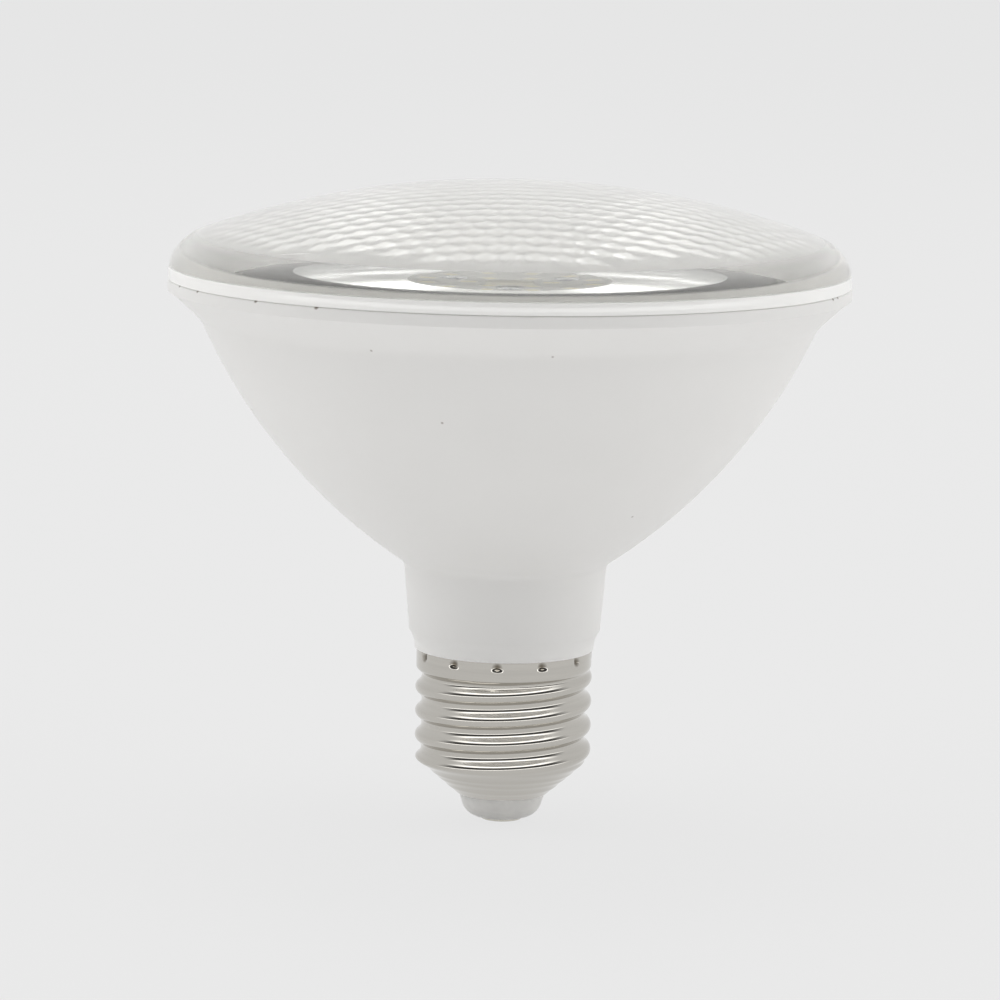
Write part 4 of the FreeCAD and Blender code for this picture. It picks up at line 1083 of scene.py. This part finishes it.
class BULB_OT_reflector(bpy.types.Operator):
    """Model the reflector, coated inside"""

    bl_idname = "bulb.reflector"
    bl_label = "Reflector"

    def execute(self, context):
        settings = context.scene.bulb_reflector
        low = REFLECTOR_LOW.z
        top = REFLECTOR_HIGH.z
        rim = REFLECTOR_HIGH.x
        under = settings.flange_top - settings.flange
        outer_arc = settings.arc + settings.wall
        section("coated_reflector", [
            (settings.throat, low),
            (settings.mouth, top, settings.arc, ANTICLOCKWISE, 32),
            (settings.collar, top),
            (settings.flange_step, settings.flange_top),
            (rim, settings.flange_top),
            (rim, under),
            (settings.flange_step - settings.flange / 2, under),
            (settings.throat + settings.wall, low, outer_arc, CLOCKWISE, 32),
            (settings.throat, low),
        ])
        reflector = spun(ROUND_STEPS)
        painted(reflector, reflector_back(settings))
        painted(reflector, metal_coat(settings), lambda place, normal: place.xy.dot(normal.xy) < 0)
        finished(smooth(reflector), "reflector_metal", "reflector")
        return {"FINISHED"}


class BULB_OT_diodes(bpy.types.Operator):
    """Model one light diode and copy it to the places of all"""

    bl_idname = "bulb.diodes"
    bl_label = "Light diodes"

    def execute(self, context):
        inner = context.scene.bulb_inner
        seat = BOARD_TOP
        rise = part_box(CHIP_NODES[0])[1].z - seat
        deselected()
        bpy.ops.mesh.primitive_cube_add(
            size=1.0, location=(0.0, 0.0, rise / 2), scale=(inner.chip_length, inner.chip_width, rise))
        first = bpy.context.object
        bpy.ops.object.transform_apply(location=True, rotation=True, scale=True)
        bpy.ops.object.mode_set(mode="EDIT")
        bpy.ops.mesh.select_all(action="SELECT")
        bpy.ops.mesh.bevel(offset=inner.chip_edge, segments=2)
        bpy.ops.mesh.select_mode(type="FACE")
        bpy.ops.mesh.select_all(action="DESELECT")
        mesh = bmesh.from_edit_mesh(first.data)
        for face in mesh.faces:
            face.select = face.normal.z > FLAT
        bmesh.update_edit_mesh(first.data)
        bpy.ops.mesh.inset(thickness=inner.chip_rim)
        bpy.ops.mesh.extrude_region_move(TRANSFORM_OT_translate={"value": (0.0, 0.0, -inner.chip_recess)})
        bpy.ops.mesh.select_mode(type="VERT")
        bpy.ops.object.mode_set(mode="OBJECT")
        package = grained("diode_package", inner.package, 0.0, (0.35, 0.45), 1500.0).material
        phosphor = grained("phosphor", inner.phosphor, 0.0, (0.45, 0.6), 2500.0, RELIEF).material
        window = rise - inner.chip_recess
        half = inner.chip_length / 2 - inner.chip_rim
        painted(first, package)
        painted(first, phosphor, lambda place, normal: (
            normal.z > FLAT and abs(place.z - window) < 2 * MERGE and abs(place.x) < half))
        smooth(first)
        for node in CHIP_NODES:
            low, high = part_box(node)
            middle = (low + high) / 2
            turn = Matrix.Rotation(atan2(middle.y, middle.x), 4, "Z")
            chip = copied(first)
            chip.name = f"light_diode_{node[-2:]}"
            chip.data.transform(Matrix.Translation((middle.x, middle.y, seat)) @ turn)
            finished(chip, "diode_package", node)
        bpy.data.objects.remove(first)
        return {"FINISHED"}


class BULB_OT_inner_parts(bpy.types.Operator):
    """Give the parts inside the lamp their finishes"""

    bl_idname = "bulb.inner_parts"
    bl_label = "Inner parts"

    def execute(self, context):
        inner = context.scene.bulb_inner
        finishes = {
            "led_board": ring_traces(inner.board_white),
            "driver_board": board_tracks(inner.board_green),
            "transformer_winding": wound_wire(inner.copper),
            "fuse_resistor": leaded(
                "resistor_lacquer", "fuse_resistor", "X", (LEAD, LEAD), inner.lacquer, (0.3, 0.4)),
        }
        for node in ("input_capacitor", "output_capacitor"):
            finishes[node] = leaded(
                f"{node}_sleeve", node, "Z", (CAN_FOOT, CAN_TOP), inner.sleeve, (0.2, 0.3))
        for node in ("bridge_rectifier", "output_diode", "driver_chip"):
            finishes[node] = leaded(
                f"{node}_package", node, "X", (LEAD / 2, LEAD / 2), inner.package_black, (0.4, 0.55))
        rolled = (1.0, 1.0, 6.0)
        sleeve = (0.0, (0.3, 0.4), 1400.0)
        for node, *finish in (
            ("heat_sink", "pressed_aluminium", inner.aluminium, 1.0, (0.3, 0.45), 300.0, RELIEF, rolled),
            ("board_screws", "zinc_plating", inner.zinc, 1.0, (0.2, 0.35), 1500.0),
            ("led_connector", "connector_plastic", inner.connector, 0.0, (0.3, 0.4), 1200.0, RELIEF),
            ("transformer_core", "ferrite", inner.ferrite, 0.0, (0.5, 0.65), 1500.0, 3 * RELIEF),
            ("transformer_bobbin", "bobbin_plastic", inner.package_black, 0.0, (0.4, 0.5), 1000.0),
            ("contact_pin", "plated_brass", inner.brass, 1.0, (0.15, 0.3), 900.0),
            ("film_capacitor", "film_box", inner.film_box, 0.0, (0.25, 0.4), 800.0, RELIEF),
            ("live_wire", "live_wire_sleeve", inner.live, *sleeve),
            ("neutral_wire", "neutral_wire_sleeve", inner.neutral, *sleeve),
            ("led_positive_wire", "led_positive_wire_sleeve", inner.positive, *sleeve),
            ("led_negative_wire", "led_negative_wire_sleeve", inner.negative, *sleeve),
        ):
            finishes[node] = grained(*finish).material
        for node, material in finishes.items():
            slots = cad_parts[node].material_slots
            if not slots:
                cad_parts[node].data.materials.append(material)
            for slot in slots:
                slot.material = material
        return {"FINISHED"}


class BULB_OT_stage(bpy.types.Operator):
    """Set up the floor, the lights and the camera"""

    bl_idname = "bulb.stage"
    bl_label = "Stage"

    def wire_world(self, wiring, stage):
        """Light from all round, darker on the camera's side, with bright panels and dark gaps to mirror."""
        backdrop = stage.backdrop
        way = wiring.add("ShaderNodeTexCoord").outputs["Generated"]
        front = wiring.rise(wiring.math("MULTIPLY", wiring.part(way, "Y"), -1.0), -0.2, 0.4)
        lift = wiring.math("MULTIPLY_ADD", wiring.part(way, "Z"), 0.5)
        lift.node.inputs[2].default_value = 0.5
        plain = wiring.tree.nodes["Background"]
        wiring.join(wiring.mixed(front, grey(1.0), grey(stage.front)), plain.inputs["Color"])
        dark = stage.dark
        # By height, from 0.5 at the horizon to 1 straight up
        panels = wiring.ramp(
            lift, (0.5, PANEL_TONE), (0.54, PANEL_TONE), (0.56, dark), (0.79, dark), (0.81, PANEL_TONE),
            (0.9, PANEL_TONE), (0.93, dark), (1.0, ZENITH_TONE),
        )
        mirrored = wiring.add("ShaderNodeBackground")
        mirrored.inputs["Strength"].default_value = PANEL_LIGHT
        wiring.join(wiring.mixed(front, shade(backdrop, 1 / PANEL_LIGHT), panels), mirrored.inputs["Color"])
        room = wiring.mixed(wiring.near(way, DARK_WAY, DARK_REACH, WAY_CORE), ROOM, grey(dark * 3))
        for side in (-1, 1):
            panel = wiring.near(way, (PANEL_WAY[0] * side, *PANEL_WAY[1:]), PANEL_REACH, WAY_CORE)
            room = wiring.mixed(panel, room, grey(ROOM_PANEL))
        through = wiring.add("ShaderNodeBackground")
        wiring.join(room, through.inputs["Color"])
        seen = wiring.add("ShaderNodeBackground")
        seen.inputs["Color"].default_value = (*backdrop, 1.0)
        last = plain.outputs[0]
        for kind, light in (("Glossy", mirrored), ("Transmission", through), ("Camera", seen)):
            last = wiring.layered(wiring.seen(kind), last, light.outputs[0])
        wiring.join(last, wiring.tree.nodes["World Output"].inputs["Surface"])

    def execute(self, context):
        stage = context.scene.bulb_stage
        deselected()
        bpy.ops.mesh.primitive_plane_add(size=FLOOR_SIDE, location=(0.0, 0.0, -FLOOR_DROP))
        floor = bpy.context.object
        floor.name = "studio_floor"
        bpy.ops.object.transform_apply(location=True)
        floor.data.materials.append(studio_floor(stage))

        for name, place, energy, size in LAMPS:
            bpy.ops.object.light_add(type="AREA", location=place)
            lamp = bpy.context.object
            lamp.name = f"studio_{name}"
            lamp.data.energy = energy
            lamp.data.size = size
            lamp.visible_glossy = False
            lamp.visible_transmission = name != "top"
            lamp.rotation_euler = (LAMP_AIM - lamp.location).to_track_quat("-Z", "Y").to_euler()

        world = bpy.data.worlds.new("studio")
        context.scene.world = world
        world.use_nodes = True
        self.wire_world(Wiring(world.node_tree), stage)
        # The deep reflections between the lens and the reflector need many bounces
        context.scene.cycles.max_bounces = 32
        context.scene.cycles.glossy_bounces = 16
        context.scene.cycles.transmission_bounces = 24

        bpy.ops.object.camera_add(location=(stage.aside, -stage.distance, stage.height))
        camera = bpy.context.object
        camera.name = "studio_camera"
        camera.data.lens = stage.focal
        camera.data.clip_start = 0.01
        camera.rotation_mode = "XYZ"
        camera.rotation_euler = (pi / 2 - stage.pitch, 0.0, 0.0)
        camera.rotation_euler.rotate_axis("Z", stage.roll)
        context.scene.camera = camera
        context.scene.view_settings.view_transform = "Standard"
        return {"FINISHED"}


class BULB_PT_panel(bpy.types.Panel):
    """Lists the lamp's pieces"""

    bl_idname = "BULB_PT_panel"
    bl_label = "Spotlight Bulb"
    bl_space_type = "VIEW_3D"
    bl_region_type = "UI"
    bl_category = "Spotlight Bulb"

    def draw(self, context):
        for operator in OPERATORS:
            self.layout.operator(operator.bl_idname)


SETTINGS = {
    "bulb_lens": LensSettings,
    "bulb_reflector": ReflectorSettings,
    "bulb_housing": HousingSettings,
    "bulb_cap": CapSettings,
    "bulb_inner": InnerSettings,
    "bulb_stage": StageSettings,
}
OPERATORS = [
    BULB_OT_stage, BULB_OT_housing, BULB_OT_reflector, BULB_OT_lens, BULB_OT_shell, BULB_OT_insulator,
    BULB_OT_diodes, BULB_OT_inner_parts,
]
CLASSES = [*SETTINGS.values(), *OPERATORS, BULB_PT_panel]


def register():
    """Adds the settings, the operators and the panel."""
    for kind in CLASSES:
        bpy.utils.register_class(kind)
    for name, group in SETTINGS.items():
        setattr(bpy.types.Scene, name, bpy.props.PointerProperty(type=group))


def unregister():
    """Takes them away again."""
    for name in SETTINGS:
        delattr(bpy.types.Scene, name)
    for kind in reversed(CLASSES):
        bpy.utils.unregister_class(kind)


def main():
    """Builds the whole scene."""
    register()
    bpy.ops.bulb.stage()
    bpy.ops.bulb.housing()
    bpy.ops.bulb.reflector()
    bpy.ops.bulb.lens()
    bpy.ops.bulb.shell()
    bpy.ops.bulb.insulator()
    bpy.ops.bulb.diodes()
    bpy.ops.bulb.inner_parts()


if __name__ == "__main__":
    main()
